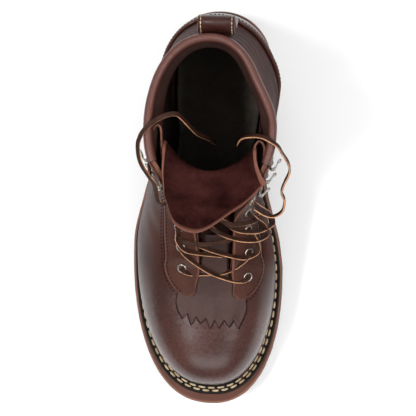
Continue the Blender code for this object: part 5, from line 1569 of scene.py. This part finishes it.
def build_lacing():
    parts = []
    for start, end, roll, table in RUNS:
        rows = np.array(table)
        seeds = world(rows[:, 0], rows[:, 1], 0.0)
        base = seeds.copy()
        base[:, 2] = feather(rows[:, 1]) + 0.4 * smooth_table(RIDGE, 1,
                                                              rows[:, 1] / SOLE_LENGTH) * COLLAR_HEIGHT
        surface = cast(base, np.array([0.0, 0.0, 1.0]) + 0 * base, low=-0.01, high=0.11)
        n = normals(surface)
        points = list(surface + n * rows[:, 2][:, None])
        if start:
            points = hole_points(*start, points[0]) + points
        if end:
            points = points + hole_points(*end, points[-1])[::-1]
        path = even(spline(np.array(points), 12), 0.0010)
        up = normals(path)
        t = np.linspace(0, 1, len(path))
        turn = roll * smoothstep(0.0, 0.18, t) * (1 - smoothstep(0.86, 1.0, t))
        parts.append(ribbon(path, up, turn))
    v, f, m = merge(parts)
    piece("boot_lace", v, f, [LACE_FACE, LACE_EDGE], m, ["lace"], 30)


build_lacing()


# Welt, its turned-out flange and the two rows of stitching


def fine_loop(insets, count=420):
    """Closed plan line of the sole, shrunk by the insets, evenly spaced, as rows of (x, along)."""
    side, heel, toe = insets
    t = 0.5 - 0.5 * np.cos(np.linspace(0, math.pi, 500))
    along = (SOLE_LENGTH - toe) + (heel - (SOLE_LENGTH - toe)) * t
    lateral = np.stack([-half_width(along, -1, side, heel, toe), along], axis=-1)
    medial = np.stack([half_width(along, 1, side, heel, toe), along], axis=-1)
    loop = np.concatenate([lateral, medial[-2:0:-1], lateral[:1]])
    d = arc_length(loop)
    at = np.linspace(0, d[-1], count + 1)[:-1]
    even_loop = at_distances(at, d, loop)
    return np.roll(even_loop, -int(np.argmin(even_loop[:, 1])), axis=0)


def inward_of(loop):
    ahead, behind = np.roll(loop, -1, axis=0), np.roll(loop, 1, axis=0)
    way = unit(ahead - behind)
    inward = np.stack([-way[:, 1], way[:, 0]], axis=-1)
    return inward * np.sign(((loop.mean(axis=0) - loop) * inward).sum(-1).mean())


def closed_ring(name, profile, material, nodes, tones):
    """Closed band from loops of points, each one a ring of the profile."""
    rings = np.stack(profile)
    rows, count = rings.shape[:2]
    f = tube_faces(rows, count)
    return piece(name, rings.reshape(-1, 3), f, [material], None, nodes, 40, np.repeat(tones, count))


def on_plan(points, height):
    return world(points[:, 0], points[:, 1], height)


WELT_INSETS = (0.0021, 0.0014, 0.0078)
MIDSOLE_INSETS = (0.0002, 0.0004, 0.0008)
ROW_OUTER, ROW_INNER, FLANGE_EDGE = 0.0030, 0.0054, 0.0041


def build_welt():
    loop = fine_loop(WELT_INSETS)
    inward = inward_of(loop)
    bottom = welt_bottom(loop[:, 1])
    top = WELT_THICKNESS
    shape = [(0.0007, 0.0), (0.0001, 0.0006), (0.0, 0.0013), (0.0001, top - 0.0006), (0.0007, top),
             (ROW_OUTER - 0.0010, top), (ROW_OUTER - 0.0004, top - 0.0005),
             (ROW_OUTER + 0.0004, top - 0.0005),
             (ROW_OUTER + 0.0010, top), (WELT_WIDTH, top), (WELT_WIDTH, 0.0)]
    rings = [on_plan(loop + inward * w, bottom + h) for w, h in shape]
    # Tone across the profile: lighter round the outer edge, painted shade in the groove of the outer stitch
    # row.
    closed_ring("boot_welt", rings, WELT_BLACK, ["welt"],
                [0, 0.1, 0.2, 0.3, 0.3, 0, -0.3, -0.3, 0, 0, 0])
    level = bottom + top - 0.0003
    path = on_plan(loop + inward * ROW_OUTER, level)
    path = np.vstack([path, path[:1]])
    up = np.tile([0.0, 0.0, 1.0], (len(path), 1))
    outer_row = stitches(path, up, 0.0074, 0.0055, 0.0015, 0.0010)
    # The inner row shows round the forefoot only
    inner_path = on_plan(loop + inward * ROW_INNER, bottom + top + 0.0010)
    inner_path = np.vstack([inner_path, inner_path[:1]])
    front = inner_path[:, 1] < ORIGIN_ALONG - 0.205
    runs = np.where(front)[0]
    split = np.where(np.diff(runs) > 1)[0]
    order = np.concatenate([runs[split[0] + 1 :], runs[: split[0] + 1]]) if len(split) else runs
    inner_row = stitches(inner_path[order], up[order], 0.0074, 0.0055, 0.0014, 0.0009, 0.45)
    v, f, m = merge([outer_row, inner_row])
    piece("welt_thread", v, f, [CREAM_THREAD], m, (), 60)


def build_flange():
    """Edge of the upper's leather, turned out over the welt."""
    loop = fine_loop(WELT_INSETS)
    inward = inward_of(loop)
    edge = loop + inward * FLANGE_EDGE
    foot = np.stack([outer[0, :, 0], ORIGIN_ALONG - outer[0, :, 1]], axis=-1)
    foot = np.vstack([foot, foot[:1]])
    dense = np.stack([np.interp(np.linspace(0, len(foot) - 1, 4000), np.arange(len(foot)),
                                foot[:, k]) for k in (0, 1)], -1)
    near = np.array([dense[np.argmin(((dense - q) ** 2).sum(-1))] for q in edge])
    reach = np.linalg.norm(near - edge, axis=-1, keepdims=True)
    way = (near - edge) / np.maximum(reach, 1e-6)
    near = edge + way * np.maximum(reach - 0.0003, 0.0004)
    base = welt_bottom(edge[:, 1]) + WELT_THICKNESS
    thick = 0.0009
    rings = [on_plan(near, base + 0.0001), on_plan(near, base + thick + 0.0004),
             on_plan(edge + (near - edge) * 0.6, base + thick), on_plan(edge + (near - edge) * 0.08,
                                                                        base + thick),
             on_plan(edge, base + thick * 0.6), on_plan(edge, base + 0.0001)]
    # Tone: painted shade where the flange meets the upper, a little lighter at its outer edge.
    closed_ring("upper_flange", rings, OVERLAY_LEATHER, (),
                [-0.9, -0.7, -0.2, 0.1, 0.2, 0.0])


build_welt()
build_flange()


# Midsole edge


def build_midsole():
    loop = fine_loop(MIDSOLE_INSETS, 460)
    inward = inward_of(loop)
    low = midsole_bottom(loop[:, 1])
    t = MIDSOLE_THICKNESS
    shape = [(0.0012, 0.0), (0.0003, 0.0005), (0.0, 0.0012), (0.0, 0.0024), (0.00025, 0.0029),
             (0.00025, 0.0031),
             (0.0, 0.0036), (0.0, t - 0.0014), (0.0003, t - 0.0007), (0.0011, t - 0.0001), (0.0020, t),
             (0.020, t)]
    rings = [on_plan(loop + inward * w, low + h) for w, h in shape]
    v, f = loft(rings)
    # Tone across the profile: painted shade in the groove round the edge, painted highlights on the rounded
    # edges, strongest on the top one.
    tones = np.repeat([0, 0.3, 0.4, 0.1, -0.7, -0.7, 0.1, 0.3, 0.8, 1.0, 0.2, 0.0], len(loop))
    piece("boot_midsole", v, f, [EDGE_BROWN], None, ["midsole"], 35, tones)


build_midsole()


# Carried-over solids: their own materials

for name, material in (("outsole", RUBBER), ("heel_cap", RUBBER), ("heel", HEEL_STACK), ("insole", FOOTBED)):
    node = frame["nodes"][name]
    node = bpy.data.objects[node] if isinstance(node, str) else node
    for slot in node.material_slots:
        slot.material = material


# Floor and light

floor_mesh = bpy.data.meshes.new("studio_floor")
floor_mesh.from_pydata([(-3, -3, -0.0004), (3, -3, -0.0004), (3, 3, -0.0004), (-3, 3, -0.0004)], [],
                       [(0, 1, 2, 3)])
floor_material, floor_tree, floor_shader = nodes_of("studio_floor")
floor_shader.inputs["Base Color"].default_value = (0.90, 0.90, 0.90, 1.0)
floor_shader.inputs["Roughness"].default_value = 0.9
floor_mesh.materials.append(floor_material)
floor = bpy.data.objects.new("studio_floor", floor_mesh)
bpy.context.scene.collection.objects.link(floor)

LIGHTS = [  # name, place (m), aims at (m), size across and along (m), watts
    ("soft_left", (-0.50, -0.20, 1.15), (0.0, -0.16, 0.05), 0.15, 0.55, 11.5),
    ("soft_right", (0.58, -0.18, 1.15), (0.0, -0.16, 0.05), 0.15, 0.55, 9.5),
    ("soft_toe", (0.0, -1.15, 0.95), (0.0, -0.20, 0.05), 1.3, 0.40, 4.2),
    ("soft_back", (0.05, 0.95, 1.05), (0.0, -0.02, 0.10), 1.3, 0.40, 4.2),
]
for name, place, aim, across, along, power in LIGHTS:
    lamp = bpy.data.lights.new(name, "AREA")
    lamp.shape = "RECTANGLE"
    lamp.size, lamp.size_y = across, along
    lamp.energy = power
    obj = bpy.data.objects.new(name, lamp)
    way = np.array(aim) - np.array(place)
    z = -way / np.linalg.norm(way)
    y = np.array([0.0, 1.0, 0.0]) - z[1] * z
    y = y / np.linalg.norm(y)
    x = np.cross(y, z)
    for i in range(3):
        for j, axis in enumerate((x, y, z)):
            obj.matrix_world[i][j] = axis[i]
        obj.matrix_world[i][3] = place[i]
    bpy.context.scene.collection.objects.link(obj)

world_light = bpy.data.worlds.new("studio")
world_light.use_nodes = True
world_light.node_tree.nodes["Background"].inputs["Color"].default_value = (1.0, 1.0, 1.0, 1.0)
world_light.node_tree.nodes["Background"].inputs["Strength"].default_value = 0.34
bpy.context.scene.world = world_light
